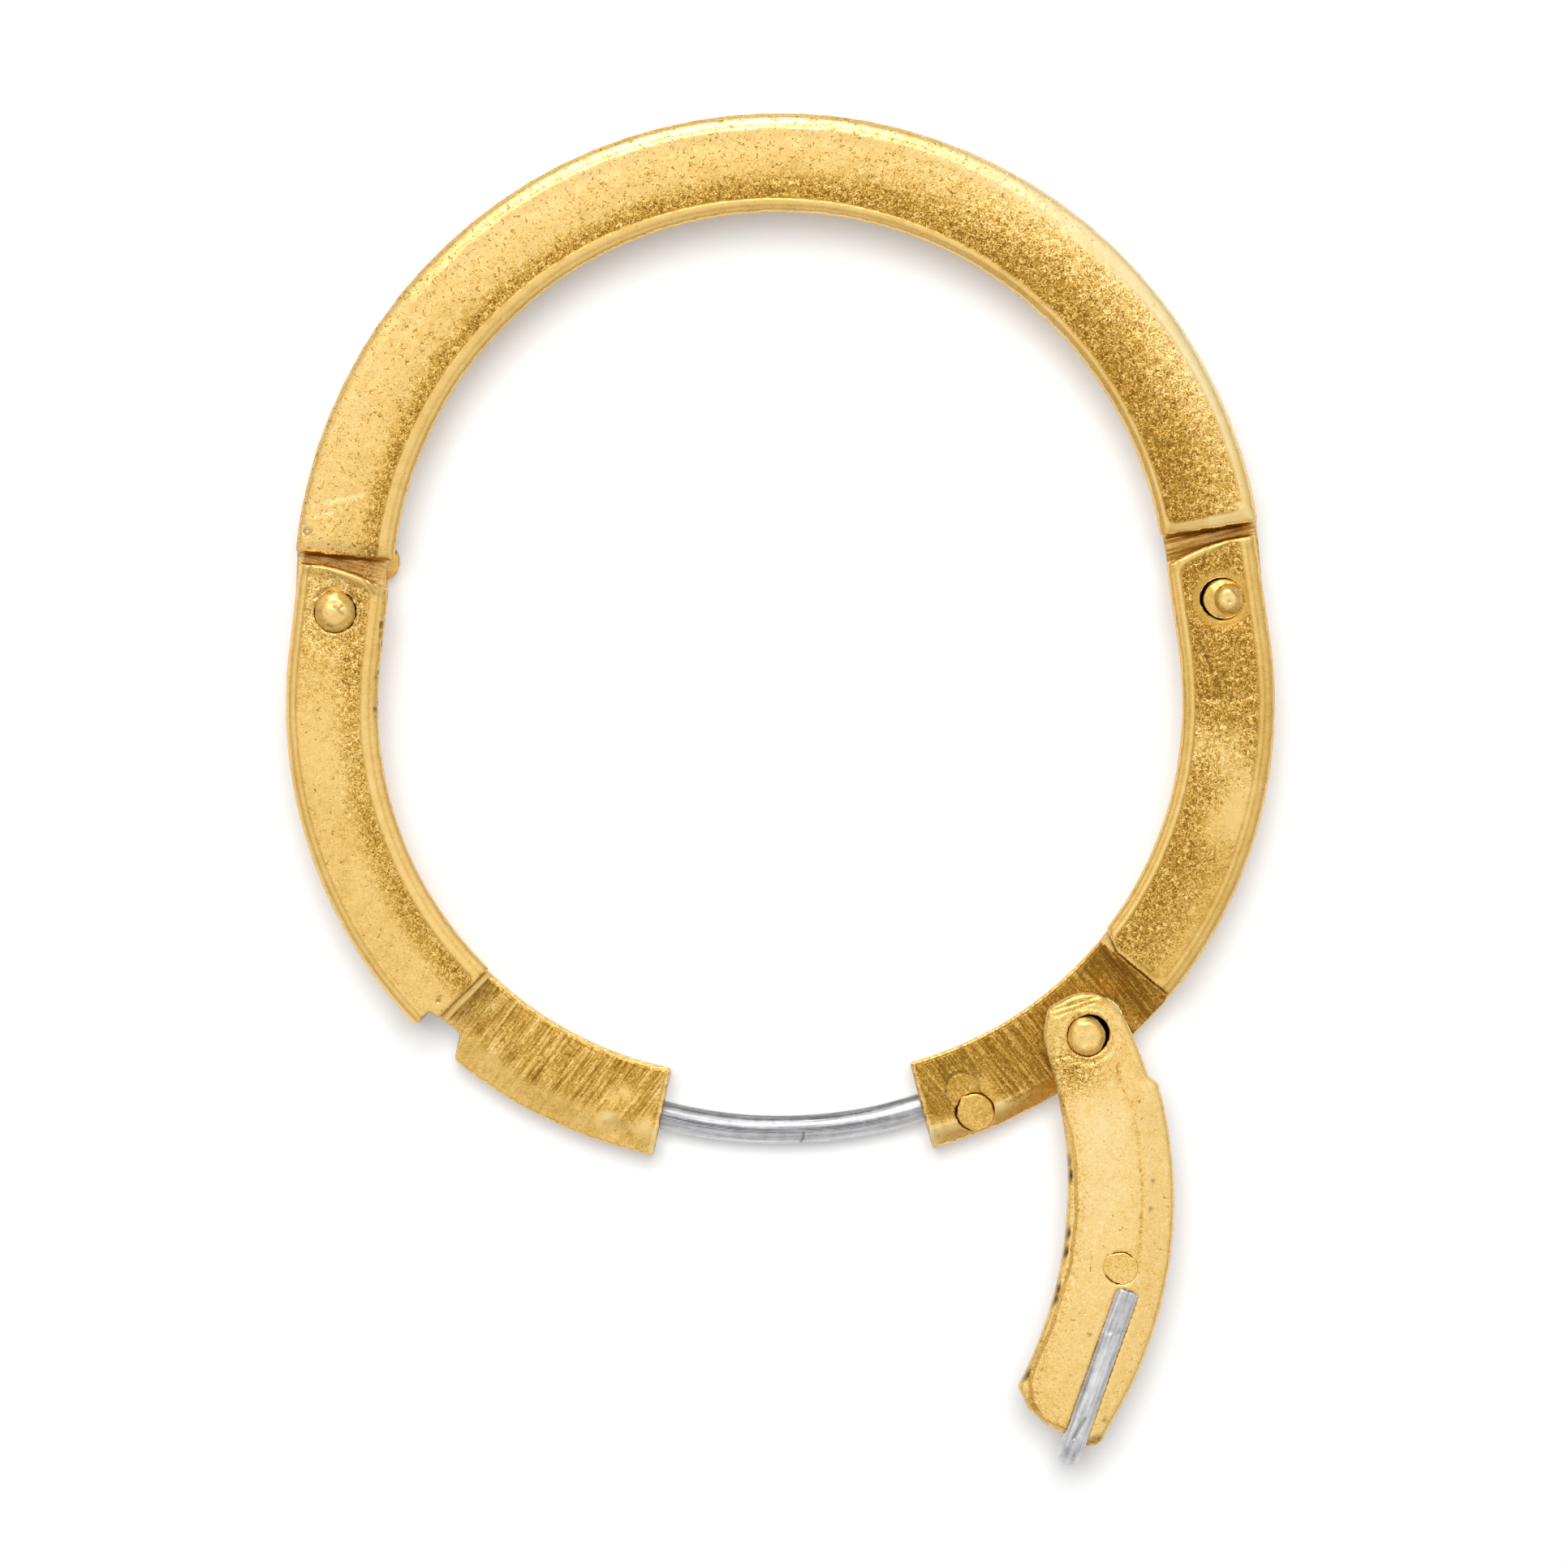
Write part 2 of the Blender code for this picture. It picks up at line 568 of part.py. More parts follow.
def build_guide(left_leg, right_leg):
    """Guide wire, flat behind so that it clears the stop pin as far as its head, with its two pins."""
    flat = stop_top + RUNNING_CLEARANCE
    ramp = FIXED_CLEARANCE / guide_arc
    bare = -OVERCUT
    sections = [(guide_start, 0.8, bare), (guide_start + 3 * ramp, 1.0, bare), (head_swing - ramp, 1.0, bare)]
    for i in range(GUIDE_STEPS + 1):
        sections.append((head_swing + (flat_end - head_swing) * i / GUIDE_STEPS, 1.0, flat))
    sections.append((flat_end + ramp, 1.0, bare))
    steps = GUIDE_STEPS // 4
    for i in range(1, steps + 1):
        sections.append((flat_end + ramp + (guide_finish - flat_end - 4 * ramp) * i / steps, 1.0, bare))
    sections.append((guide_finish, 0.8, bare))
    wire = guide_tube("guide_wire", guide_centre, guide_arc, GUIDE_WIRE_RADIUS, sections)
    key = ANCHOR_PIN_RADIUS + FIXED_CLEARANCE
    cut(wire, drill("anchor_key", anchor_place, key, -OVERCUT, DEPTH + OVERCUT))
    place(wire, anchor_place, right_leg, white_wire())
    anchor_profile = [(ANCHOR_PIN_RADIUS, PIN_RECESS), (ANCHOR_PIN_RADIUS, recess_floor)]
    anchor = turning("guide_anchor_pin", anchor_place, anchor_profile)
    place(anchor, anchor_place, right_leg, yellow_gold())
    stop_profile = [(STOP_PIN_RADIUS, PIN_RECESS), (STOP_PIN_RADIUS, stop_top)]
    stop = turning("guide_stop_pin", stop_place, stop_profile)
    place(stop, stop_place, left_leg, yellow_gold())


def lever_outline():
    """Lever: round eye, concave inner edge, bevelled tip, convex outer edge and a narrower neck."""
    inner_centre = (LEVER_EDGE_RADIUS + LEVER_EYE) * direction(LEVER_TURN)
    outer_centre = inner_centre + LEVER_WIDTH * direction(LEVER_SKEW)
    neck_radius = LEVER_EDGE_RADIUS - LEVER_NECK_INSET

    def edge_angle(centre, radius, along):
        return math.acos((along - centre.x) / radius)

    toe = edge_angle(inner_centre, LEVER_EDGE_RADIUS, HOOK_REACH - LEVER_TOE_SHORT)
    nose = edge_angle(outer_centre, LEVER_EDGE_RADIUS, HOOK_REACH - LEVER_NOSE_SHORT)
    step_out = edge_angle(outer_centre, LEVER_EDGE_RADIUS, LEVER_NECK_LENGTH + LEVER_NECK_INSET)
    step_in = edge_angle(outer_centre, neck_radius, LEVER_NECK_LENGTH)
    eye = Vector((0.0, 0.0))
    neck = circles_meet(eye, LEVER_EYE, outer_centre, neck_radius, -1)
    neck_angle = math.atan2(neck.y - outer_centre.y, neck.x - outer_centre.x)
    eye_start = math.atan2(neck.y, neck.x)
    eye_end = LEVER_TURN + 2 * math.pi
    outline = arc(inner_centre, LEVER_EDGE_RADIUS, LEVER_TURN + math.pi, toe, LEVER_STEPS)
    for short, across in (LEVER_TIP_BEVEL, LEVER_TIP_POINT, LEVER_TIP_ROUND):
        outline.append(Vector((HOOK_REACH - short, across)))
    outline += arc(outer_centre, LEVER_EDGE_RADIUS, nose, step_out, LEVER_STEPS)
    outline += arc(outer_centre, neck_radius, step_in, neck_angle, 4)
    outline += arc(eye, LEVER_EYE, eye_start, eye_end, ROUND_SIDES // 2)[1:-1]
    return [lever_point(p.x, p.y) for p in outline]


def hook_root():
    """Along and across place of the hook wire's square end on the lever."""
    back = HOOK_WIRE_LENGTH * direction(HOOK_WIRE_LEAN)
    return Vector((HOOK_REACH, 0.0)) - back


def hook_groove():
    """The groove in the lever's face that the hook wire lies in, open at the lever's tip."""
    root = hook_root()
    axis = direction(HOOK_WIRE_LEAN)
    side = Vector((-axis.y, axis.x))
    half = hook_radius + FIXED_CLEARANCE
    ends = (-FIXED_CLEARANCE, HOOK_WIRE_LENGTH + OVERCUT)
    corners = [root + ends[0] * axis - half * side, root + ends[1] * axis - half * side]
    corners += [root + ends[1] * axis + half * side, root + ends[0] * axis + half * side]
    low = DEPTH + HOOK_WIRE_PROUD - HOOK_WIRE_WIDTH - FIXED_CLEARANCE
    return plate("groove", [lever_point(p.x, p.y) for p in corners], low, DEPTH + OVERCUT)


def hook_path():
    """The hook wire's middle line as (distance from its root, height, tangent's fall, squareness, scale)."""
    height = DEPTH + HOOK_WIRE_PROUD - hook_radius
    straight = HOOK_WIRE_LENGTH - HOOK_BEND
    path = [(0.0, height, 0.0, 1.0, 0.9), (FIXED_CLEARANCE, height, 0.0, 1.0, 1.0)]
    path.append((straight, height, 0.0, 0.6, 1.0))
    for i in range(1, 6):
        fall = math.pi / 2 * i / 5
        reach = straight + HOOK_BEND * math.sin(fall)
        drop = HOOK_BEND * (1 - math.cos(fall))
        path.append((reach, height - drop, fall, 0.6 * (1 - i / 5), 1.0))
    for _, lift in dome(1.0, 0.0, 1.0):
        scale = math.sqrt(1 - lift ** 2)
        path.append((HOOK_WIRE_LENGTH, HOOK_FOOT + hook_radius * (1 - lift), math.pi / 2, 0.0, scale))
    return path


def build_hook_wire(lever):
    """Hook wire: squared where it lies in the lever, round where it turns down into the notch."""
    root = hook_root()
    axis = direction(HOOK_WIRE_LEAN)
    side = Vector((-axis.y, axis.x))
    rings = []
    for reach, height, fall, square, scale in hook_path():
        power = 2 + 6 * square
        ring = []
        for i in range(WIRE_SIDES):
            angle = 2 * math.pi * (i + 0.5) / WIRE_SIDES
            spread = (abs(math.cos(angle)) ** power + abs(math.sin(angle)) ** power) ** (-1 / power)
            across = hook_radius * scale * spread * math.cos(angle)
            lift = hook_radius * scale * spread * math.sin(angle)
            plan = root + (reach + lift * math.sin(fall)) * axis + across * side
            point = lever_point(plan.x, plan.y)
            ring.append((point.x, point.y, height + lift * math.cos(fall)))
        rings.append(ring)
    wire = solid("latch_hook_wire", rings)
    origin = lever_point(root.x, root.y)
    place(wire, origin, lever, white_wire())


def build_latch(right_leg):
    """Latch lever on its pivot pin, with its hook wire and its detent plug."""
    lever = plate("latch_lever", lever_outline(), lever_low, DEPTH, RIM_WIDTH / 3, RIM_DROP / 2)
    bore = PIVOT_PIN_RADIUS + RUNNING_CLEARANCE
    cut(lever, drill("lever_bore", pivot, bore, -OVERCUT, DEPTH + OVERCUT))
    cut(lever, hook_groove())
    plug_place = lever_point(HOOK_REACH - DETENT_ALONG, DETENT_ACROSS)
    plug_bore = DETENT_RADIUS + FIXED_CLEARANCE
    cut(lever, drill("plug_bore", plug_place, plug_bore, -OVERCUT, DEPTH + OVERCUT))
    place(lever, pivot, right_leg, yellow_gold())
    domed_pin("latch_pivot_pin", pivot, PIVOT_PIN_RADIUS, right_leg)
    profile = dome(DETENT_RADIUS, lever_low, -DETENT_TIP)[::-1] + [(DETENT_RADIUS, DEPTH)]
    plug = turning("latch_detent_pin", plug_place, profile)
    place(plug, plug_place, lever, yellow_gold())
    build_hook_wire(lever)


def main():
    for item in list(bpy.data.objects):
        bpy.data.objects.remove(item)
    root = bpy.data.objects.new("ring_middle", None)
    root["plan_x"] = 0.0
    root["plan_y"] = 0.0
    root.location = (0.0, -crown, 0.0)
    bpy.context.scene.collection.objects.link(root)
    arch = build_arch(root)
    left_leg = build_left_leg(root)
    right_leg = build_right_leg(root)
    domed_pin("left_hinge_pin", hinge(LEFT), HINGE_PIN_RADIUS, arch)
    domed_pin("right_hinge_pin", hinge(RIGHT), HINGE_PIN_RADIUS, arch)
    build_guide(left_leg, right_leg)
    build_latch(right_leg)


main()
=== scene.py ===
"""Looks of the hinged ring shank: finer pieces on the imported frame, finishes, floor, light and camera."""

import itertools
import math

import bmesh
import bpy
import numpy as np
from mathutils import Matrix


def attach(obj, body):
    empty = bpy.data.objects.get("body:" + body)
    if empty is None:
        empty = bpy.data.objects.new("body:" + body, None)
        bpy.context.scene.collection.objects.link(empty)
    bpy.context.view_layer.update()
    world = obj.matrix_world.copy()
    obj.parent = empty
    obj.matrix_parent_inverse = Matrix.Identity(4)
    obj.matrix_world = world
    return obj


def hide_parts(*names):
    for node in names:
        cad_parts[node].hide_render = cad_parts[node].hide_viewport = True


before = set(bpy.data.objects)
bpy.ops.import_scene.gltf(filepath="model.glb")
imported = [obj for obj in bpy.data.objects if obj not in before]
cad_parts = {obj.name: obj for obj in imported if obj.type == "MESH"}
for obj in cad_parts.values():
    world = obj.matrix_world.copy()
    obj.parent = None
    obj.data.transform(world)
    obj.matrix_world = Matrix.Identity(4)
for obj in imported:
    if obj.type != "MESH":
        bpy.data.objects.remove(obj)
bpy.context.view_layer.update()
scene = bpy.context.scene

MM = 0.001

# Photo frame: pixels across, millimetres per pixel, the pixel midway between the hinge pins, and the roll
PHOTO_SIZE = 1932
PIXEL = 0.018198
HINGE_MIDDLE = (959.7, 745.85)
ROLL = math.radians(0.833)
HINGE_LEVEL = -9.941

# Plan sizes repeated from the part, in millimetres
DEPTH = 2.40
RIM_WIDTH = 0.30
RIM_DROP = 0.14
ARCH_CENTRE = (0.0, -9.785)
ARCH_INNER = 8.675
ARCH_OUTER = 10.895
ARCH_RIGHT_END = math.radians(81.69)
ARCH_LEFT_END = math.radians(83.58)
TONGUE_TOP = 1.56
LEG_CENTRE = (0.7544, -12.1668)
LEG_INNER = 8.275
LEG_OUTER = 10.345
LEG_STRAIGHT = math.radians(97.45)
LEG_TOP = math.radians(108.5)
LEFT_CHEEK_TOP = (
    (-10.746, -8.790), (-10.082, -8.900), (-9.729, -8.997), (-9.380, -9.121), (-8.741, -9.422),
)
RIGHT_CHEEK_TOP = (
    (10.705, -8.473), (10.040, -8.583), (9.688, -8.680), (9.339, -8.804), (8.700, -9.105),
)
LEFT_EAR = (-8.996, -8.794)
LEFT_EAR_RADIUS = 0.46
RECESS_FLOOR = 1.40
LEFT_SHOULDER = math.radians(45.33)
RIGHT_SHOULDER = math.radians(49.84)
LEFT_END = math.radians(12.56)
RIGHT_END = math.radians(14.16)
PIVOT = (6.776, -19.695)
LEVER_REST = math.radians(-93.2)
LEVER_EDGE = 9.60
LEVER_INNER_CENTRE = (3.7915, -9.8773)
LEVER_OUTER_CENTRE = (4.0007, -7.4864)
HOOK_LEAN = math.radians(-17.3)
GUIDE_CENTRE = (0.0, -11.3224)
GUIDE_ARC = 10.423
GUIDE_HEIGHT = 0.70
GUIDE_RADIUS = 0.32
ANCHOR_CENTRE = (4.251, -21.3844)
ANCHOR_RADIUS = 0.40
STOP_CENTRE = (-3.6171, -21.0978)
STOP_RADIUS = 0.30
DETENT_CENTRE = (7.446, -24.9103)
DETENT_RADIUS = 0.34

# Worn form of the front and rear faces, in millimetres
CROWN = 0.09
PANEL_SINK = 0.022
PANEL_CORNER = 0.22
LINE_HALF = 0.028
LINE_DEPTH = 0.012
STRIP_HALF = 0.035
GRAIN_HEIGHT = 0.010
GRAIN_SIZE = 0.13
UNDERCUT = 0.09
TONGUE_TUCK = 0.28
ARCH_OUTER_BORDER = 0.62
ARCH_OUTER_BORDER_CUT = 0.32
LEFT_BORDERS = (0.40, 0.23)
RIGHT_BORDERS = (0.28, 0.36)
WORN_CHEEK_TOP = 0.12
PLUG_SWELL = 0.055
HEAD_LIMIT = 0.19

# Turn over which the recess floors begin below their shoulders, in radians
LEFT_RECESS_FADE = 0.03
RIGHT_RECESS_FADE = 0.009

# Gold from bright to deep, as linear colours at places along its range of shades
SHADE_LOW = -0.3
SHADE_HIGH = 1.4
GOLD_STOPS = (
    (0.0, (1.00, 0.80, 0.42)),
    (0.176, (0.96, 0.69, 0.285)),
    (0.324, (0.90, 0.59, 0.19)),
    (0.470, (0.70, 0.42, 0.097)),
    (0.618, (0.54, 0.305, 0.053)),
    (0.765, (0.40, 0.21, 0.030)),
    (1.0, (0.26, 0.12, 0.016)),
)
# Dark colour of dirt in marks and lines, also used as painted shade on walls in gaps and holes
GOLD_DIRT_AND_SHADE = (0.09, 0.042, 0.010)

# Gold's painted shade on upright walls, its shade and grain on the legs' rear faces, and the wire's linear
# colours
WALL_SHADE = 0.60
REAR_SHADE = 0.34
REAR_GRAIN = 0.25
WIRE_DARK = (0.17, 0.17, 0.18)
WIRE_PALE = (0.82, 0.82, 0.83)
WIRE_DIRT = (0.06, 0.055, 0.05)

# Noise scales per metre, and the height of the finest bumps in metres
FIBRE_SCALE = 14000.0
PIT_SCALE = 12500.0
PATCH_SCALE = 3000.0
CLOUD_SCALE = 450.0
WIRE_PATCH_SCALE = 5200.0
BUMP_HEIGHT = 0.00002

# Floor and lights, in metres, with watts for the key lamp and watts per square metre for the overhead lamp
FLOOR_HALF = 0.4
FLOOR_LEVEL = -0.00002
FLOOR_GLOW = 0.33
SKY_STOPS = ((0.0, 0.50), (0.3, 0.62), (0.6, 0.88), (0.85, 0.98), (1.0, 0.98))
SKY_LEAN = (-0.05, 0.12)
KEY_SIZE = 0.24
KEY_ENERGY = 0.9
KEY_PLACE = (-0.05, 0.33, 0.36)
KEY_AIM = (0.0, -0.012, 0.0)
OVERHEAD_SPREAD = math.radians(30)
OVERHEAD_ENERGY = 3.3
OVERHEAD_TILT = (math.radians(-11), math.radians(-1.5), 0.0)

# Camera, in millimetres
CAMERA_DISTANCE = 300.0
SENSOR_WIDTH = 36.0

# Meshes, in millimetres
WELD = 1e-5
ARCH_VOXEL = 0.08
LEG_VOXEL = 0.07
LEVER_VOXEL = 0.055
SMALL_VOXEL = 0.03

# Marks of use, and the paths of painted highlights on the right leg and the lever, as pixels of the photo
ARCH_SMEARS = (((381, 622), (446, 609)), ((381, 635), (409, 631)))
ARCH_NICK = (378, 655)
ARCH_BAND_SCRATCH = ((728, 268), (772, 266), (790, 262))
LEFT_GOUGES = (((387, 737), (403, 726)), ((450, 716), (461, 732)), ((456, 714), (464, 726)))
LEFT_PIT = (540, 1233)
LEFT_ROUGH_EDGE = ((476, 716), (474, 760), (468, 873))
LEFT_POLISH = ((757, 1352), (768, 1346), (793, 1386), (748, 1378))
LEFT_CHIPS = ((722, 1362), (744, 1386), (775, 1399))
RIGHT_CURVE = ((1475, 860), (1494, 863), (1514, 866), (1532, 863), (1548, 856))
RIGHT_SCRATCHES = (((1478, 787), (1506, 858)), ((1482, 700), (1487, 675)), ((1510, 683), (1514, 700)))
RIGHT_SHINE = ((1478, 918), (1505, 930), (1532, 962), (1515, 1000), (1494, 1022))
RIGHT_PIN_AXIS = (1506.7, 737.9)
LEFT_PIN_AXIS = (412.7, 753.8)
PIVOT_AXIS = (1339.5, 1277)
STAKE_MARK = (1187, 1343)
STAKE_UPPER = (1185, 1332)
STAKE_POLISH = ((1222, 1350), (1232, 1360), (1214, 1336), (1172, 1384), (1156, 1389))
LEVER_CREASE = (
    (1376, 1312), (1381, 1338), (1398, 1370), (1404, 1420), (1408, 1470), (1405, 1538), (1400, 1566),
)
LEVER_EYE_LINES = (((1296, 1246), (1352, 1228)), ((1299, 1252), (1350, 1235)))
LEVER_EYE_NICK = ((1366, 1232), (1380, 1246))
LEVER_EYE_CORNER = (1291, 1242)
LEVER_EYE_CORNER_WAY = (-0.83, 0.56)
LEVER_STEP = ((1296, 1305), (1312, 1302))
LEVER_DULL = (1324, 1322)
LEVER_PITS = (
    (1421, 1455), (1418, 1490), (1354, 1728), (1361, 1750), (1343, 1645), (1323, 1254), (1329, 1251),
)
LEVER_EDGE_PITS = (
    (1312, 1430), (1317, 1448), (1318, 1520), (1314, 1543), (1301, 1588), (1298, 1600), (1268, 1696),
)
LEVER_TIP_PIT = ((1340, 1778), (1354, 1775))
LEVER_LIP = (
    (1296, 1330), (1310, 1364), (1321, 1400), (1326, 1434), (1327, 1495), (1320, 1558),
    (1297, 1635), (1273, 1690), (1270, 1706), (1273, 1727), (1286, 1750), (1318, 1764),
)
LEVER_TOE = (1270, 1733)
LEVER_TOE_WAY = (-0.8, -0.6)
LEVER_GLOW = ((1350, 1390), (1362, 1450), (1362, 1500))
LEFT_PIN_NICKS = (((413, 748), (423, 757)), ((418, 752), (422, 747)), ((404, 771), (409, 774)))
RIGHT_PIN_NICKS = (((1519, 727), (1525, 735)), ((1514, 741), (1516, 742)))
HOOK_SCRATCH = ((1323, 1772), (1337, 1748))
HOOK_DENTS = ((1368, 1640), (1378, 1642))
HOOK_BURR = (1303, 1774)
GUIDE_MARK = ((990, 1398), (990, 1404), (987, 1408))


def spot(pixel):
    """Plan place in millimetres of a pixel of the photo."""
    across = (pixel[0] - HINGE_MIDDLE[0]) * PIXEL
    up = (HINGE_MIDDLE[1] - pixel[1]) * PIXEL
    x = across * math.cos(ROLL) + up * math.sin(ROLL)
    y = up * math.cos(ROLL) - across * math.sin(ROLL)
    return np.array((x, y + HINGE_LEVEL))


def near(points, pixel):
    """Distance in plan from each point to a pixel of the photo."""
    gap = points[:, :2] - spot(pixel)
    return np.hypot(gap[:, 0], gap[:, 1])


def path_side(points, places):
    """Distance in plan from each point to a line through places, negative to the right of the line."""
    nearest = np.full(len(points), np.inf)
    side = np.ones(len(points))
    for start, end in zip(places, places[1:]):
        run = np.array(end) - np.array(start)
        offset = points[:, :2] - np.array(start)
        share = np.clip((offset @ run) / (run @ run), 0, 1)
        gap = offset - share[:, None] * run
        distance = np.hypot(gap[:, 0], gap[:, 1])
        turn = np.sign(run[0] * offset[:, 1] - run[1] * offset[:, 0])
        side = np.where(distance < nearest, turn, side)
        nearest = np.minimum(nearest, distance)
    return nearest * side


def stroke(points, path):
    """Distance in plan from each point to a line through pixels of the photo."""
    return np.abs(path_side(points, [spot(pixel) for pixel in path]))


def strokes(points, paths, half):
    """Lines through pixels of the photo, 1 on a line and fading over a half width."""
    total = np.zeros(len(points))
    for path in paths:
        total = np.maximum(total, ridge(stroke(points, path), 0.0, half))
    return total


def dots(points, pixels, half):
    """Round spots at pixels of the photo, 1 in the middle and fading over a half width."""
    total = np.zeros(len(points))
    for pixel in pixels:
        total = np.maximum(total, ridge(near(points, pixel), 0.0, half))
    return total


def rounded_box(along, across, half_along, half_across, corner):
    """Distance to the edge of a rounded rectangle, negative inside."""
    first = np.abs(along) - half_along + corner
    second = np.abs(across) - half_across + corner
    outside = np.hypot(np.maximum(first, 0), np.maximum(second, 0))
    return np.minimum(np.maximum(first, second), 0) + outside - corner


def border(inner, outer, inner_width, outer_width, outer_power=2.0):
    """How far the worn, rounded borders lie above the part's straight bevels."""
    change = np.zeros(len(inner))
    for distance, width, power in ((inner, inner_width, 2.0), (outer, outer_width, outer_power)):
        rounded = -RIM_DROP * (1 - np.clip(distance / width, 0, 1)) ** power
        straight = -RIM_DROP * np.clip(1 - distance / RIM_WIDTH, 0, 1)
        change += rounded - straight
    return change


def ease(low, high, value):
    """Smooth step from 0 at low to 1 at high."""
    share = np.clip((value - low) / (high - low), 0.0, 1.0)
    return share * share * (3 - 2 * share)


def ridge(value, middle, half):
    """Smooth bump of height 1 round a middle value."""
    return np.exp(-((value - middle) / half) ** 2)


def lumps(points, size, seed):
    """Smooth random heights from -1 to 1 with lumps of about a given size."""
    grid = points / size
    cell = np.floor(grid).astype(np.int64)
    part = grid - cell
    part = part * part * (3 - 2 * part)
    total = np.zeros(len(points))
    for corner in itertools.product((0, 1), repeat=3):
        key = cell + np.array(corner)
        code = (key[:, 0] * 73856093) ^ (key[:, 1] * 19349663)
        code = code ^ (key[:, 2] * 83492791) ^ (seed * 2654435761)
        value = np.sin((code % 100003) * 12.9898) * 43758.5453
        weight = np.prod(np.where(np.array(corner) == 1, part, 1 - part), axis=1)
        total += weight * (2 * (value - np.floor(value)) - 1)
    return total


def relax(points, edges, passes):
    """Even out a mesh without shrinking it."""
    first, second = edges.T
    count = np.bincount(edges.ravel(), minlength=len(points))[:, None]
    for _ in range(passes):
        for share in (0.5, -0.51):
            total = np.zeros_like(points)
            for axis in range(3):
                total[:, axis] = np.bincount(first, points[second, axis], len(points))
                total[:, axis] += np.bincount(second, points[first, axis], len(points))
            points = points + share * (total / count - points)
    return points


def mesh_points(mesh):
    """A mesh's vertices."""
    points = np.zeros(len(mesh.vertices) * 3)
    mesh.vertices.foreach_get("co", points)
    return points.reshape(-1, 3)


def mesh_normals(mesh):
    """A mesh's vertex normals."""
    normals = np.zeros(len(mesh.vertices) * 3)
    mesh.vertex_normals.foreach_get("vector", normals)
    return normals.reshape(-1, 3)


def mesh_edges(mesh):
    """Vertex numbers of a mesh's edges."""
    edges = np.zeros(len(mesh.edges) * 2, np.int64)
    mesh.edges.foreach_get("vertices", edges)
    return edges.reshape(-1, 2)


def relax_mesh(mesh, passes):
    """Even out a mesh in place."""
    mesh.vertices.foreach_set("co", relax(mesh_points(mesh), mesh_edges(mesh), passes).ravel())
    mesh.update()


def split_front(mesh, level):
    """Halve the faces that look forward above a level, where the fine detail goes."""
    work = bmesh.new()
    work.from_mesh(mesh)
    work.normal_update()
    edges = set()
    for face in work.faces:
        if face.normal.z > 0.3 and face.calc_center_median().z > level:
            edges.update(face.edges)
    bmesh.ops.subdivide_edges(work, edges=list(edges), cuts=1, use_grid_fill=True)
    work.to_mesh(mesh)
    work.free()
    mesh.update()


def fine_piece(node, body, voxel, passes, shape, material, split_above=None):
    """Replace a CAD node with a finer copy, shaped by a function of its points and normals."""
    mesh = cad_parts[node].data.copy()
    mesh.transform(Matrix.Scale(1 / MM, 4))
    work = bmesh.new()
    work.from_mesh(mesh)
    bmesh.ops.remove_doubles(work, verts=work.verts, dist=WELD)
    work.to_mesh(mesh)
    work.free()
    piece = bpy.data.objects.new(node + "_fine", mesh)
    scene.collection.objects.link(piece)
    step = piece.modifiers.new("even", "REMESH")
    step.mode = "VOXEL"
    step.voxel_size = voxel
    graph = bpy.context.evaluated_depsgraph_get()
    mesh = bpy.data.meshes.new_from_object(piece.evaluated_get(graph))
    piece.modifiers.clear()
    piece.data = mesh
    relax_mesh(mesh, passes)
    if split_above is not None:
        split_front(mesh, split_above)
        relax_mesh(mesh, 1)
    points, values = shape(mesh_points(mesh), mesh_normals(mesh))
    mesh.vertices.foreach_set("co", (points * MM).ravel())
    for name, value in values.items():
        layer = mesh.attributes.new(name, "FLOAT", "POINT")
        layer.data.foreach_set("value", np.broadcast_to(value, len(points)).astype(np.float32))
    mesh.shade_smooth()
    mesh.materials.clear()
    mesh.materials.append(material)
    mesh.update()
    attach(piece, body)
    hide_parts(node)
    return piece


def add(tree, kind, inputs=None, **settings):
    """A shader node with its settings, and its inputs given as values or as sockets to link from."""
    node = tree.nodes.new(kind)
    for key, value in settings.items():
        setattr(node, key, value)
    for key, value in (inputs or {}).items():
        if isinstance(value, bpy.types.NodeSocket):
            tree.links.new(value, node.inputs[key])
        else:
            node.inputs[key].default_value = value
    return node


def work_out(tree, operation, first, second=0.0, third=0.0):
    """Output of a math node."""
    return add(tree, "ShaderNodeMath", {0: first, 1: second, 2: third}, operation=operation).outputs[0]


def spread(tree, value, low, high, start=0.0, end=1.0):
    """A value mapped from one range to another, clamped."""
    inputs = {"Value": value, "From Min": low, "From Max": high, "To Min": start, "To Max": end}
    return add(tree, "ShaderNodeMapRange", inputs).outputs["Result"]


def painted(tree, name):
    """A value painted on the mesh."""
    return add(tree, "ShaderNodeAttribute", attribute_name=name).outputs["Fac"]


def noise(tree, vector, scale, detail=2.0, rough=0.55, twist=0.0):
    """Output of a noise texture."""
    inputs = {"Vector": vector, "Scale": scale, "Detail": detail, "Roughness": rough, "Distortion": twist}
    return add(tree, "ShaderNodeTexNoise", inputs).outputs["Fac"]


def blend(tree, share, first, second):
    """Two colours mixed."""
    node = add(tree, "ShaderNodeMix", {"Factor": share}, data_type="RGBA")
    for socket, value in ((node.inputs[6], first), (node.inputs[7], second)):
        if isinstance(value, bpy.types.NodeSocket):
            tree.links.new(value, socket)
        else:
            socket.default_value = (*value, 1.0)
    return node.outputs[2]


def new_material(name, metallic):
    """An empty metal: its node tree, its shader and a vector of object coordinates."""
    material = bpy.data.materials.new(name)
    material.use_nodes = True
    tree = material.node_tree
    shader = tree.nodes["Principled BSDF"]
    shader.inputs["Metallic"].default_value = metallic
    return material, tree, shader, add(tree, "ShaderNodeTexCoord").outputs["Object"]


def ramp(tree, value, stops):
    """Colour from a value and stops of position and colour."""
    node = add(tree, "ShaderNodeValToRGB", {"Fac": value})
    while len(node.color_ramp.elements) < len(stops):
        node.color_ramp.elements.new(0.5)
    for element, (position, colour) in zip(node.color_ramp.elements, stops):
        element.position = position
        element.color = (*colour, 1.0)
    return node.outputs["Color"]


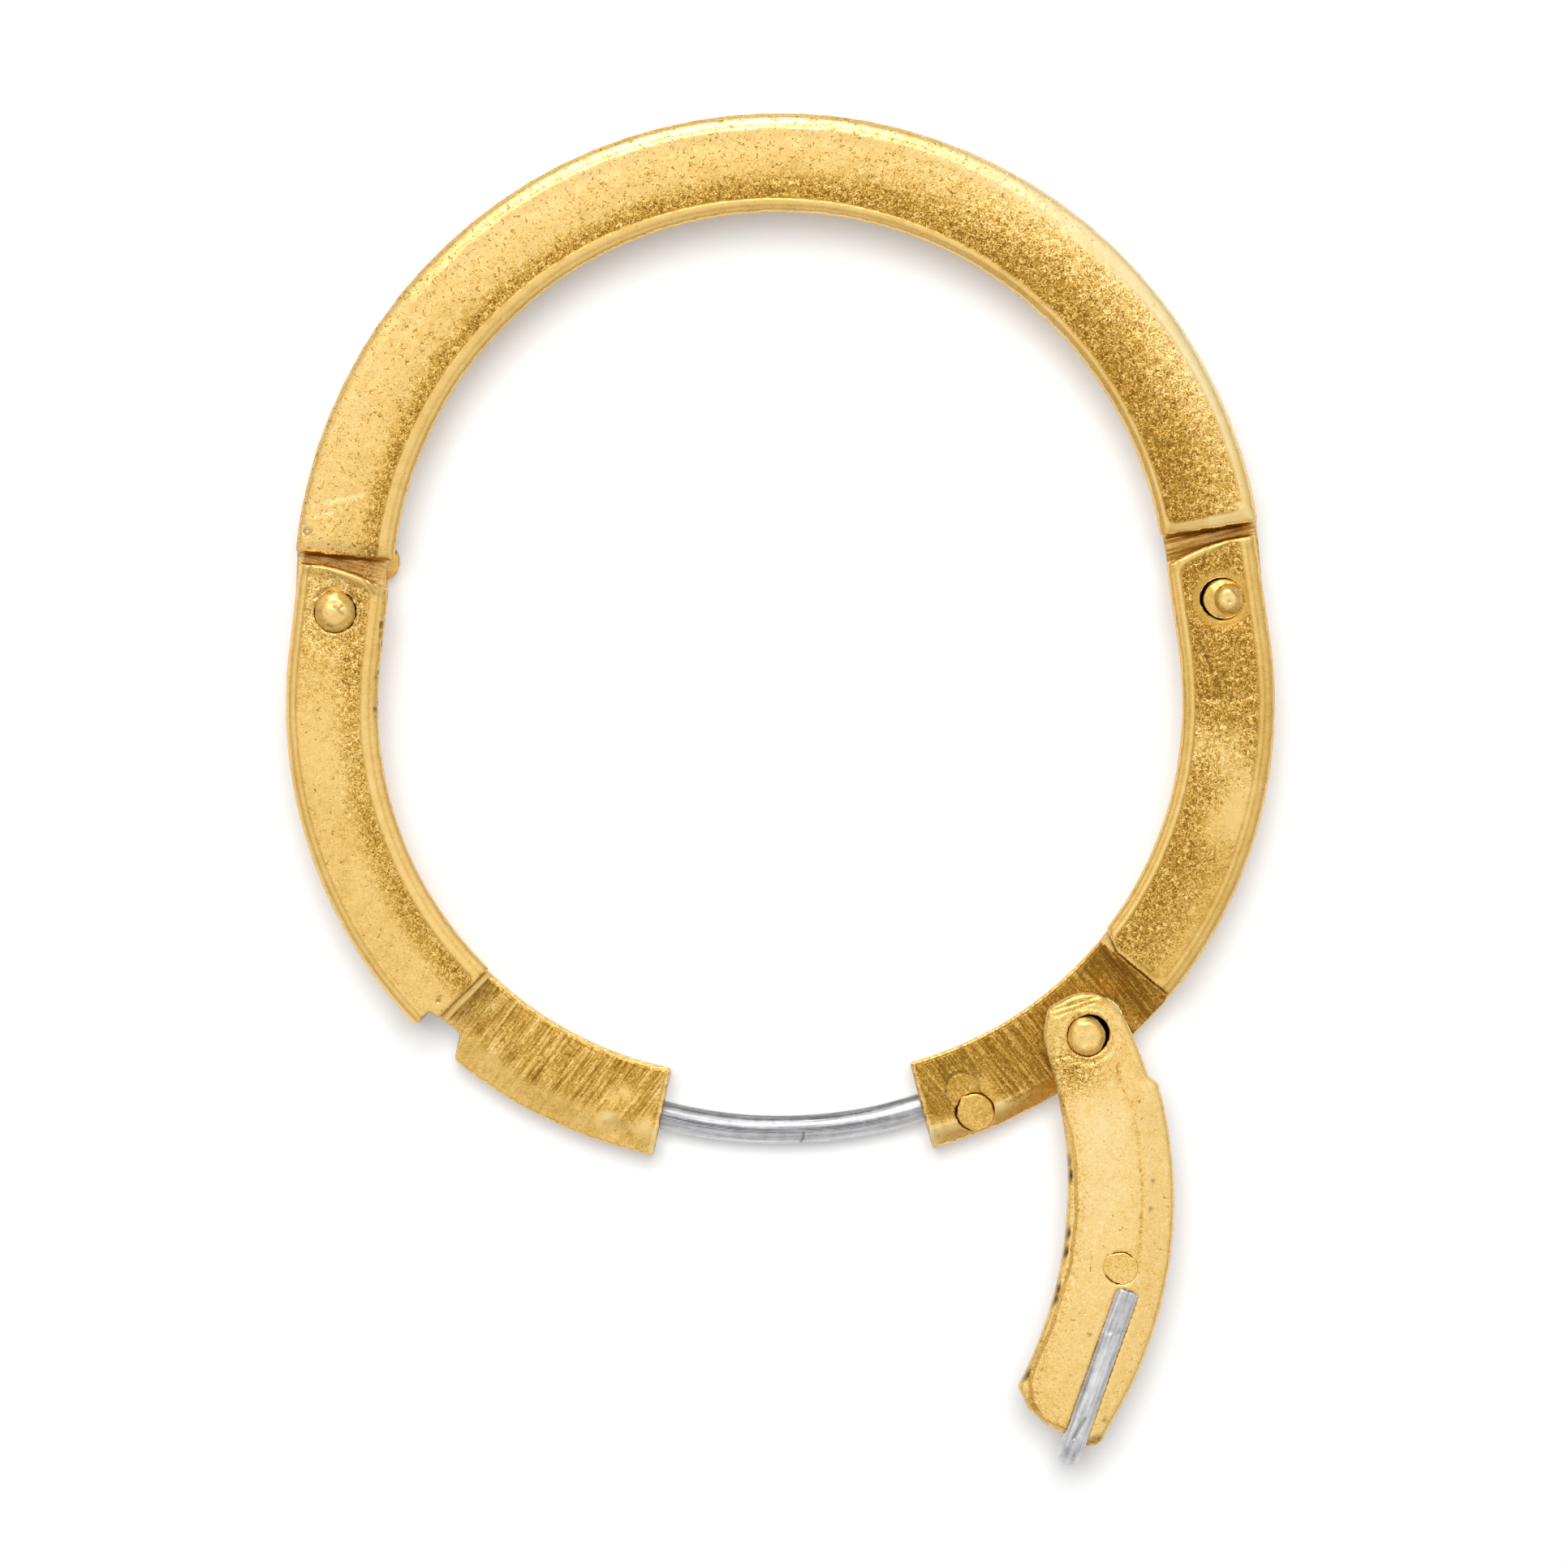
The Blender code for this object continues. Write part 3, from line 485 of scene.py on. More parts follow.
def gold_material():
    """Cast and worn yellow gold, with shade, grain, pits, file lines and dirt as painted on the mesh, the
    dirt also as painted shade in gaps.
    """
    material, tree, shader, place = new_material("cast_gold", 1.0)
    grain = painted(tree, "grain")
    mark = painted(tree, "mark")
    filed = painted(tree, "filed")
    lines = add(tree, "ShaderNodeCombineXYZ", {"X": painted(tree, "across"), "Y": painted(tree, "along")})
    fibre = noise(tree, place, FIBRE_SCALE, 2.0, 0.6, 1.6)
    patch = noise(tree, place, PATCH_SCALE, 3.0, 0.6)
    cloud = noise(tree, place, CLOUD_SCALE, 2.0, 0.5)
    scratch = noise(tree, lines.outputs[0], 1.0, 4.0, 0.7)
    speck = noise(tree, place, PIT_SCALE, 1.0, 0.5, 1.2)
    speck = work_out(tree, "SUBTRACT", speck, painted(tree, "pits"))
    pit = spread(tree, speck, 0.26, 0.18)
    rough_grain = work_out(tree, "MULTIPLY", grain, 4.8)
    low_fibre = work_out(tree, "SUBTRACT", 0.5, fibre)
    low_scratch = work_out(tree, "SUBTRACT", 0.5, scratch)
    shade = work_out(tree, "MULTIPLY_ADD", low_fibre, rough_grain, painted(tree, "shade"))
    shade = work_out(tree, "MULTIPLY_ADD", low_scratch, filed, shade)
    shade = work_out(tree, "ADD", shade, spread(tree, patch, 0.3, 0.7, 0.07, -0.07))
    shade = work_out(tree, "ADD", shade, spread(tree, cloud, 0.3, 0.7, 0.06, -0.06))
    shade = work_out(tree, "MULTIPLY_ADD", pit, 0.65, shade)
    colour = ramp(tree, spread(tree, shade, SHADE_LOW, SHADE_HIGH), GOLD_STOPS)
    # The mark attribute lays on the dark colour of dirt, and also painted shade on walls in gaps and holes
    colour = blend(tree, mark, colour, GOLD_DIRT_AND_SHADE)
    tree.links.new(colour, shader.inputs["Base Color"])
    rough = work_out(tree, "MULTIPLY_ADD", grain, 0.10, spread(tree, patch, 0.3, 0.7, 0.24, 0.32))
    tree.links.new(rough, shader.inputs["Roughness"])
    height = work_out(tree, "MULTIPLY", fibre, work_out(tree, "MULTIPLY_ADD", grain, 1.0, 0.08))
    height = work_out(tree, "MULTIPLY_ADD", patch, 0.10, height)
    height = work_out(tree, "MULTIPLY_ADD", scratch, filed, height)
    height = work_out(tree, "SUBTRACT", height, pit)
    bump = add(tree, "ShaderNodeBump", {"Strength": 0.5, "Distance": BUMP_HEIGHT, "Height": height})
    tree.links.new(bump.outputs["Normal"], shader.inputs["Normal"])
    return material


def wire_material():
    """Drawn white wire: painted light and dark bands of reflection along it, streaks and small dents."""
    material, tree, shader, place = new_material("drawn_wire", 1.0)
    lines = add(tree, "ShaderNodeCombineXYZ", {"X": painted(tree, "across"), "Y": painted(tree, "along")})
    streak = noise(tree, lines.outputs[0], 1.0, 4.0, 0.65)
    patch = noise(tree, place, WIRE_PATCH_SCALE, 3.0, 0.6)
    shade = work_out(tree, "ADD", painted(tree, "shade"), spread(tree, streak, 0.3, 0.7, -0.34, 0.34))
    shade = work_out(tree, "ADD", shade, spread(tree, patch, 0.3, 0.7, -0.12, 0.12))
    colour = blend(tree, spread(tree, shade, 0.0, 1.0), WIRE_DARK, WIRE_PALE)
    colour = blend(tree, painted(tree, "mark"), colour, WIRE_DIRT)
    tree.links.new(colour, shader.inputs["Base Color"])
    tree.links.new(spread(tree, patch, 0.3, 0.7, 0.28, 0.44), shader.inputs["Roughness"])
    height = work_out(tree, "MULTIPLY_ADD", patch, 0.4, streak)
    bump = add(tree, "ShaderNodeBump", {"Strength": 0.4, "Distance": BUMP_HEIGHT, "Height": height})
    tree.links.new(bump.outputs["Normal"], shader.inputs["Normal"])
    return material


def leg_place(points, side):
    """Radius from a leg's arc centre and turn from straight down; the leg runs straight past its arc."""
    x = side * points[:, 0] - LEG_CENTRE[0]
    y = points[:, 1] - LEG_CENTRE[1]
    radius = np.hypot(x, y)
    turn = np.arctan2(x, -y)
    beyond = turn > LEG_STRAIGHT
    outward = (math.sin(LEG_STRAIGHT), -math.cos(LEG_STRAIGHT))
    upward = (math.cos(LEG_STRAIGHT), math.sin(LEG_STRAIGHT))
    middle = (LEG_INNER + LEG_OUTER) / 2
    radius = np.where(beyond, x * outward[0] + y * outward[1], radius)
    turn = np.where(beyond, LEG_STRAIGHT + (x * upward[0] + y * upward[1]) / middle, turn)
    return radius, turn


def filed_lines(points, angle, pitch, run):
    """Coordinates across and along straight file lines that run at an angle, in noise units."""
    along = (points[:, 0] * np.cos(angle) + points[:, 1] * np.sin(angle)) / run
    across = (points[:, 1] * np.cos(angle) - points[:, 0] * np.sin(angle)) / pitch
    return across, along


def faces(points, normals):
    """Shares by which points lie on the front and on the rear face."""
    front = ease(0.35, 0.75, normals[:, 2]) * ease(1.9, 2.1, points[:, 2])
    rear = ease(0.35, 0.75, -normals[:, 2]) * (1 - ease(0.3, 0.5, points[:, 2]))
    return front, rear


def crowned(points, fall):
    """Bow the front and rear faces in by a fall, and draw the sides in with them."""
    pull = ease(1.3, DEPTH - RIM_DROP, points[:, 2]) - (1 - ease(RIM_DROP, 1.1, points[:, 2]))
    points[:, 2] -= fall * pull


def roughen(points, normals, grain, seed):
    """Soft unevenness everywhere, and sandy grain where it is asked for."""
    height = 0.005 * lumps(points, 0.7, seed) + 0.002 * lumps(points, 0.25, seed + 1)
    height += GRAIN_HEIGHT * grain * lumps(points, GRAIN_SIZE, seed + 2)
    return points + normals * height[:, None]


def undercut(points, share):
    """How far the inner wall leans back below the front face."""
    return UNDERCUT * (1 - ease(0.0, 0.12, share)) * (1 - ease(0.9, 2.2, points[:, 2]))


def steep(normals, flat=0.6):
    """Share by which points lie on an upright wall."""
    return 1 - ease(0.2, flat, np.abs(normals[:, 2]))


def hidden_wall(wall, share):
    """The walls between the inner and the outer side, which lie in gaps and holes and take painted shade.
    """
    return wall * ease(0.03, 0.08, share) * (1 - ease(0.92, 0.97, share))


def plain_rear(normals, shade, grain):
    """Even shade and grain on the rear face."""
    behind = normals[:, 2] < -0.5
    return np.where(behind, REAR_SHADE, shade), np.where(behind, REAR_GRAIN, grain)


def shape_arch(points, normals):
    """Arch: outward crown, sunk panel inside rounded borders, sandier inside and towards the right end,
    with painted shade and highlights.
    """
    offset = points[:, :2] - np.array(ARCH_CENTRE)
    radius = np.hypot(offset[:, 0], offset[:, 1])
    angle = np.arctan2(offset[:, 0], offset[:, 1])
    degrees = np.degrees(angle)
    middle = (ARCH_INNER + ARCH_OUTER) / 2
    share = (radius - ARCH_INNER) / (ARCH_OUTER - ARCH_INNER)
    front, rear = faces(points, normals)
    points = points.copy()
    crowned(points, CROWN * ease(0.35, 1.2, share))
    inner_width = 0.305 - 0.09 * np.sin(angle)
    sharp = ease(40, 70, degrees)
    outer_width = ARCH_OUTER_BORDER - ARCH_OUTER_BORDER_CUT * sharp
    outer_power = 4 - 2 * ease(10, 50, degrees)
    lift = border(radius - ARCH_INNER, ARCH_OUTER - radius, inner_width, outer_width, outer_power)
    margin = 0.36 - 0.06 * sharp
    panel_middle = middle + (inner_width - margin) / 2
    panel_half = (ARCH_OUTER - ARCH_INNER - inner_width - margin) / 2
    panel_end = ARCH_RIGHT_END * middle - 0.27
    panel_start = -ARCH_RIGHT_END * middle - 1.0
    run = angle * middle - (panel_start + panel_end) / 2
    edge = rounded_box(run, radius - panel_middle, (panel_end - panel_start) / 2, panel_half, PANEL_CORNER)
    soft = (share > 0.5) * (1 - ease(35, 60, degrees))
    panel = 1 - ease(-0.05 - 0.22 * soft, 0.02 + 0.06 * soft, edge)
    line = ridge(edge, 0.0, LINE_HALF) * (1 - soft)
    strip = ridge(radius - ARCH_INNER, 0.42 * inner_width, STRIP_HALF)
    smear = strokes(points, ARCH_SMEARS, 0.06) * front
    nick = ridge(near(points, ARCH_NICK), 0.07, 0.03) * front
    hair = strokes(points, (ARCH_BAND_SCRATCH,), 0.03) * front
    lift -= PANEL_SINK * panel + LINE_DEPTH * line + LINE_DEPTH * strip
    points[:, 2] += (front - rear) * lift
    points[:, 2] -= 0.010 * smear + 0.03 * nick
    cheek_corner = np.where(points[:, 0] < 0, LEFT_CHEEK_TOP[-1][1], RIGHT_CHEEK_TOP[-1][1])
    tuck = (1 - ease(-0.15, 0.05, points[:, 1] - cheek_corner)) * (1 - ease(8.75, 9.5, radius))
    points[:, 0] += TONGUE_TUCK * tuck * np.sign(points[:, 0])
    points[:, :2] += offset / radius[:, None] * undercut(points, share)[:, None]
    points[:, 2] = np.maximum(points[:, 2], 0.0)
    right = ease(15, 75, degrees)
    inside = 1 - ease(0.18, 0.44 + 0.22 * ease(-15, 40, degrees), share)
    outside = ease(0.5, 0.9, share)
    high = ridge(degrees, -12, 42)
    end = ease(60, 76, degrees)
    # Painted shade and highlight from light at the upper left: darker towards the right end, and the outer
    # half lighter, twice as much at the top
    shade = 0.24 + 0.63 * inside * (1 - 0.50 * right) - 0.12 * outside * (1 + high)
    shade += right * (0.40 - 0.44 * outside * (1 - 0.6 * end)) - 0.34 * smear - 0.15 * hair
    shade += 0.10 * ease(66, 76, degrees) - 0.05 * ridge(degrees, -45, 25)
    # Outer border: lighter towards the right as a painted highlight, and darker along the outermost edge as
    # painted shade
    rim_highlight = ease(10, 40, degrees) * (1 - 0.5 * end)
    outer_rim = 0.10 + 0.10 * end - 0.42 * rim_highlight + 0.05 * ease(-35, -75, degrees)
    outer_rim += 0.20 * ease(0.95, 0.99, share) * (1 - ease(10, 30, degrees))
    rim = np.where(share < 0.5, 0.20 + 0.12 * strip, outer_rim)
    shade = panel * shade + (1 - panel) * rim + 0.18 * line * (share < 0.5)
    # Upright walls take a deeper painted shade; the tongue tops in the hinge gaps take a set shade of their
    # own, very light on the left as painted light in the gap
    wall = steep(normals)
    shade = shade + wall * (WALL_SHADE - shade)
    tongue = ease(0.5, 0.9, normals[:, 2]) * (1 - ease(0.1, 0.2, np.abs(points[:, 2] - TONGUE_TOP)))
    shade = np.where(tongue > 0.5, np.where(angle < 0, 0.05, 0.42), shade)
    grain = panel * np.clip(0.22 + 0.75 * ease(5, 50, degrees) + 0.75 * inside, 0, 1) * (1 - smear)
    grain = np.maximum(grain, 0.12 + 0.14 * soft)
    lean = np.where(angle < 0, math.radians(-13), math.radians(13))
    across, along = filed_lines(points, lean, 0.05, 2.0)
    mark = np.maximum(0.22 * line * np.maximum(front, rear), 0.55 * nick)
    # The arch's end walls in the hinge gaps are painted lighter as painted light, and their edges take the
    # dirt colour as painted shade
    end_wall = wall * ease(78.5, 79.5, np.abs(degrees))
    end_wall = end_wall * ease(0.02, 0.06, share) * (1 - ease(0.94, 0.98, share))
    front_end = np.where(angle < 0, ARCH_LEFT_END, ARCH_RIGHT_END)
    past_end = (np.abs(angle) - front_end) * middle
    end_edge = (1 - ease(0.80, 0.97, np.abs(normals[:, 2]))) * ease(-0.10, -0.03, past_end)
    mark = np.maximum(mark, 0.15 * end_edge)
    shade = shade - 0.5 * end_wall
    points = roughen(points, normals, grain, 20)
    pits = 0.12 * np.maximum(panel, soft) * (1 - 0.5 * right)
    values = {"grain": grain, "shade": shade, "mark": mark, "pits": pits}
    values.update({"filed": 3.5 * tongue, "across": across, "along": along})
    return points, values


def shape_leg(points, normals, side, inner_width, outer_width, shoulder, fade):
    """What the legs share: crown, borders, sunk panel and bevelled recess floor."""
    radius, turn = leg_place(points, side)
    middle = (LEG_INNER + LEG_OUTER) / 2
    share = (radius - LEG_INNER) / (LEG_OUTER - LEG_INNER)
    front, rear = faces(points, normals)
    low = 1 - ease(shoulder - fade, shoulder - fade / 3, turn)
    up = ease(0.5, 0.9, normals[:, 2])
    floor = up * (1 - ease(0.10, 0.2, np.abs(points[:, 2] - RECESS_FLOOR))) * low
    points = points.copy()
    crowned(points, CROWN * ease(0.35, 1.2, share) * (1 - low))
    lift = border(radius - LEG_INNER, LEG_OUTER - radius, inner_width, outer_width)
    panel_middle = middle + (inner_width - outer_width) / 2
    panel_half = (LEG_OUTER - LEG_INNER - inner_width - outer_width) / 2
    slope = 0.32 * (share - 0.5) * 2
    panel_end = LEG_TOP * middle + (0.0 if side < 0 else 0.32)
    panel_start = shoulder * middle + (0.02 if side < 0 else 0.10)
    run = turn * middle - slope * ease(LEG_STRAIGHT - 0.1, LEG_STRAIGHT + 0.05, turn)
    run = run - (panel_start + panel_end) / 2
    edge = rounded_box(run, radius - panel_middle, (panel_end - panel_start) / 2, panel_half, PANEL_CORNER)
    panel = 1 - ease(-0.05, 0.02, edge)
    line = ridge(edge, 0.0, LINE_HALF)
    strip = ridge(radius - LEG_INNER, 0.48 * inner_width, STRIP_HALF)
    strip = np.maximum(strip, (side > 0) * ridge(LEG_OUTER - radius, 0.6 * outer_width, STRIP_HALF))
    cheek_top = np.abs(path_side(points, LEFT_CHEEK_TOP if side < 0 else RIGHT_CHEEK_TOP))
    worn_top = -RIM_DROP * (1 - np.clip(cheek_top / WORN_CHEEK_TOP, 0, 1)) ** 2
    front_lift = np.minimum(lift + worn_top + RIM_DROP * np.clip(1 - cheek_top / RIM_WIDTH, 0, 1), RIM_DROP)
    sunk = PANEL_SINK * panel + LINE_DEPTH * line + LINE_DEPTH * strip
    points[:, 2] += front * (front_lift - sunk) - rear * (lift - sunk)
    back = undercut(points, share)
    points[:, 0] += side * back * np.sin(turn)
    points[:, 1] -= back * np.cos(turn)
    points[:, 2] = np.maximum(points[:, 2], 0.0)
    return points, radius, turn, share, front, low, floor, panel, line, strip


def bevelled(points, low, floor_bevel):
    """Lower a recess floor's edges, and draw the sides in with them."""
    reach = ease(0.6, RECESS_FLOOR, points[:, 2]) * (points[:, 2] < RECESS_FLOOR + 0.06)
    points[:, 2] -= low * reach * floor_bevel


def shape_left_leg(points, normals):
    """Left leg: smooth outer half, sandy inner band, coarse file lines on the recess floor."""
    start = points
    shaped = shape_leg(points, normals, -1, *LEFT_BORDERS, LEFT_SHOULDER, LEFT_RECESS_FADE)
    points, radius, turn, share, front, low, floor, panel, line, strip = shaped
    smooth = ease(0.60, 0.78, share + 0.05 * lumps(points, 0.5, 30))
    lip = 1 - ease(0.05, 0.08, share + 0.016 * lumps(points, 0.3, 32))
    lip = np.maximum(lip, 1 - ease(0.008, 0.016, turn - LEFT_END))
    bevelled(points, low, 0.20 * ease(0.66, 1.05, share) + 0.012 * lip)
    ear = points[:, :2] - np.array(LEFT_EAR)
    ear_reach = np.maximum(np.hypot(ear[:, 0], ear[:, 1]), 0.01)
    swell = np.clip(LEFT_EAR_RADIUS / ear_reach - 1, 0, 3)
    swell = swell * ease(0.05, 0.15, ear_reach) * (points[:, 2] < 0.86)
    swell = swell * (1 - ease(0.55, 0.85, ear[:, 1] / ear_reach))
    points[:, :2] += ear * swell[:, None]
    gouge = strokes(points, LEFT_GOUGES, 0.032) * front
    pit = dots(points, (LEFT_PIT,), 0.05) * front
    chip = dots(points, LEFT_CHIPS, 0.06) * floor
    shoulder_line = ridge((turn - LEFT_SHOULDER) * radius, -0.14, 0.035) * floor
    points[:, 2] -= 0.03 * gouge + 0.04 * pit + 0.015 * chip + 0.03 * shoulder_line
    inside = 1 - ease(0.30, 0.55, share)
    lower = 1 - ease(math.radians(62), math.radians(84), turn)
    top = ease(math.radians(86), math.radians(98), turn)
    shade = 0.26 + inside * (0.29 + 0.16 * lower) + 0.10 * top
    rim = np.where(share < 0.5, 0.18 + 0.14 * strip + 0.08 * top, 0.26)
    shade = panel * shade + (1 - panel) * rim + 0.15 * line * front
    polish = np.clip(dots(points, LEFT_POLISH, 0.22), 0, 1) * floor
    ground = 0.63 - 0.26 * smooth - 0.46 * polish - 0.42 * lip + 0.25 * chip
    ground += 0.25 * ridge(share, 0.095, 0.012)
    # Upright walls take a deeper painted shade
    wall = steep(normals, 0.5)
    shade = np.where(floor > 0.3, ground, shade + wall * (WALL_SHADE - shade))
    worn = ridge(near(points, LEFT_PIN_AXIS), 0.75, 0.35)
    grain = panel * np.clip(0.20 + 0.25 * top + 0.60 * inside + 0.35 * worn, 0, 1)
    grain = np.where(floor > 0.3, 0.45 - 0.25 * smooth - 0.2 * polish, np.maximum(grain, 0.12))
    torn = ridge(stroke(points, LEFT_ROUGH_EDGE), 0.0, 0.18) * (1 - ease(0.03, 0.07, share))
    torn = torn * ease(0.0, 0.3, lumps(points, 0.085, 31)) * ease(-0.3, 0.3, lumps(points, 0.21, 36))
    torn = torn * ease(1.95, 2.15, points[:, 2])
    points[:, 0] -= 0.03 * torn
    mark = np.maximum(0.22 * line * front, 0.45 * gouge)
    seat = ridge(near(points, LEFT_PIN_AXIS), 0.575, 0.03) * (0.6 + 0.4 * lumps(points, 0.3, 35)) * front
    mark = np.maximum(mark, np.maximum(0.8 * pit, np.maximum(0.75 * torn, 0.5 * seat)))
    mark = np.maximum(mark, 0.55 * shoulder_line)
    # Walls in the hinge gap and holes take the dirt colour as painted shade, less near the cheek top
    hidden = hidden_wall(wall, share)
    hidden = hidden * (0.4 + 0.6 * ease(0.15, 0.30, np.abs(path_side(start, LEFT_CHEEK_TOP))))
    mark = np.maximum(mark, 0.7 * hidden)
    across, along = filed_lines(start, math.radians(52), 0.09, 1.6)
    filed = floor * (1 - polish) * (1 - 0.85 * smooth) * (1 - lip)
    points[:, 2] += 0.012 * filed * lumps(np.stack((across, along, 0 * along), axis=1), 1.0, 33)
    shade, grain = plain_rear(normals, shade, grain)
    points = roughen(points, normals, grain * (1 - floor), 34)
    values = {"grain": grain, "shade": shade, "mark": mark, "pits": 0.07 * panel * front}
    values.update({"filed": 3.6 * filed, "across": across, "along": along})
    return points, values


def shape_right_leg(points, normals):
    """Right leg: sandy top, polished ring round the hinge pin, finely filed deep-toned recess floor."""
    start = points
    shaped = shape_leg(points, normals, 1, *RIGHT_BORDERS, RIGHT_SHOULDER, RIGHT_RECESS_FADE)
    points, radius, turn, share, front, low, floor, panel, line, strip = shaped
    facet = 1 - ease(math.radians(34), math.radians(41), turn)
    slant = ease(0.78, 0.84, share) * facet
    lip = 1 - ease(0.03, 0.07, share)
    lip = np.maximum(lip, 1 - ease(0.008, 0.020, turn - RIGHT_END))
    bevelled(points, low, 0.32 * ease(0.76, 1.08, share) * facet + 0.05 * lip)
    ring = (1 - ease(0.54, 0.74, near(points, RIGHT_PIN_AXIS))) * front
    curve = strokes(points, (RIGHT_CURVE,), 0.045) * front
    scratch = strokes(points, RIGHT_SCRATCHES, 0.035) * front
    stake = near(points, STAKE_MARK)
    stake_arc = ridge(near(points, STAKE_UPPER), 0.375, 0.035) * (points[:, 1] > spot(STAKE_UPPER)[1])
    stake_line = np.maximum(ridge(stake, 0.375, 0.035), 0.7 * stake_arc) * floor
    stake_face = (1 - ease(0.36, 0.40, stake)) * floor
    points[:, 2] -= 0.015 * ring + 0.012 * curve + 0.015 * scratch + 0.02 * stake_line + 0.012 * stake_face
    open_hole(points, RIGHT_PIN_AXIS, (-1.0, 0.1), 0.045)
    inside = 1 - ease(0.30, 0.62, share)
    top = ease(math.radians(72), math.radians(82), turn)
    shine = ridge(stroke(points, RIGHT_SHINE), 0.0, 0.42)
    outside = ease(0.55, 0.8, share) * (1 - top)
    upper = ease(math.radians(84), math.radians(92), turn)
    shade = 0.62 + (0.22 - 0.14 * top) * inside + 0.24 * upper - 0.18 * outside
    shade += -0.38 * shine - 0.32 * ring - 0.30 * curve + 0.25 * scratch
    rim = np.where(share < 0.5, 0.24 + 0.16 * strip, 0.29 + 0.14 * strip)
    shade = panel * shade + (1 - panel) * rim + 0.15 * line * front
    polish = np.maximum(dots(points, STAKE_POLISH, 0.20), 0.5 * stake_face) * floor
    deep = ease(RIGHT_SHOULDER - 0.11, RIGHT_SHOULDER - 0.04, turn)
    edge_glint = ridge(share, 0.785, 0.022) * floor * facet
    ground = 0.95 - 0.58 * slant - 0.50 * polish - 0.55 * lip + 0.22 * deep - 0.50 * edge_glint
    # Upright walls take a deeper painted shade
    wall = steep(normals)
    shade = np.where(floor > 0.3, ground, shade + wall * (WALL_SHADE - shade))
    grain = np.clip(0.75 + 0.25 * top + 0.25 * inside - 0.5 * shine - 0.4 * outside, 0, 1)
    grain = panel * grain * (1 - ring)
    grain = np.where(floor > 0.3, 0.55 - 0.30 * slant - 0.25 * polish, np.maximum(grain, 0.12))
    mark = np.maximum(0.22 * line * front, np.maximum(0.35 * stake_line, 0.3 * scratch))
    # Walls in the hinge gap and holes take the dirt colour as painted shade
    mark = np.maximum(mark, 0.6 * hidden_wall(wall, share))
    across, along = filed_lines(start, math.radians(-52), 0.07, 1.6)
    filed = floor * (1 - polish) * (1 - slant) * (1 - lip)
    points[:, 2] += 0.008 * filed * lumps(np.stack((across, along, 0 * along), axis=1), 1.0, 43)
    shade, grain = plain_rear(normals, shade, grain)
    points = roughen(points, normals, grain * (1 - floor), 44)
    values = {"grain": grain, "shade": shade, "mark": mark, "pits": 0.06 * panel * front}
    values.update({"filed": (3.0 + 0.6 * deep) * filed, "across": across, "along": along})
    return points, values


def open_hole(points, pixel, toward, reach):
    """Wear a hole in the front face wider towards one side."""
    gap = points[:, :2] - spot(pixel)
    distance = np.hypot(gap[:, 0], gap[:, 1])
    way = np.array(toward) / math.hypot(*toward)
    facing = np.clip((gap @ way) / np.maximum(distance, 0.01), 0, 1)
    move = reach * facing * (1 - ease(0.50, 0.80, distance)) * ease(1.6, 1.8, points[:, 2])
    points[:, :2] += move[:, None] * way


def lever_place(points):
    """Lever coordinates: along its pivot-to-hook line, and in from its hollow and its bowed edges."""
    axis = np.array((math.cos(LEVER_REST), math.sin(LEVER_REST)))
    offset = points[:, :2] - np.array(PIVOT)
    along = offset @ axis
    across = offset @ np.array((-axis[1], axis[0]))
    hollow = np.hypot(along - LEVER_INNER_CENTRE[0], across - LEVER_INNER_CENTRE[1]) - LEVER_EDGE
    bowed = LEVER_EDGE - np.hypot(along - LEVER_OUTER_CENTRE[0], across - LEVER_OUTER_CENTRE[1])
    return along, across, hollow, bowed


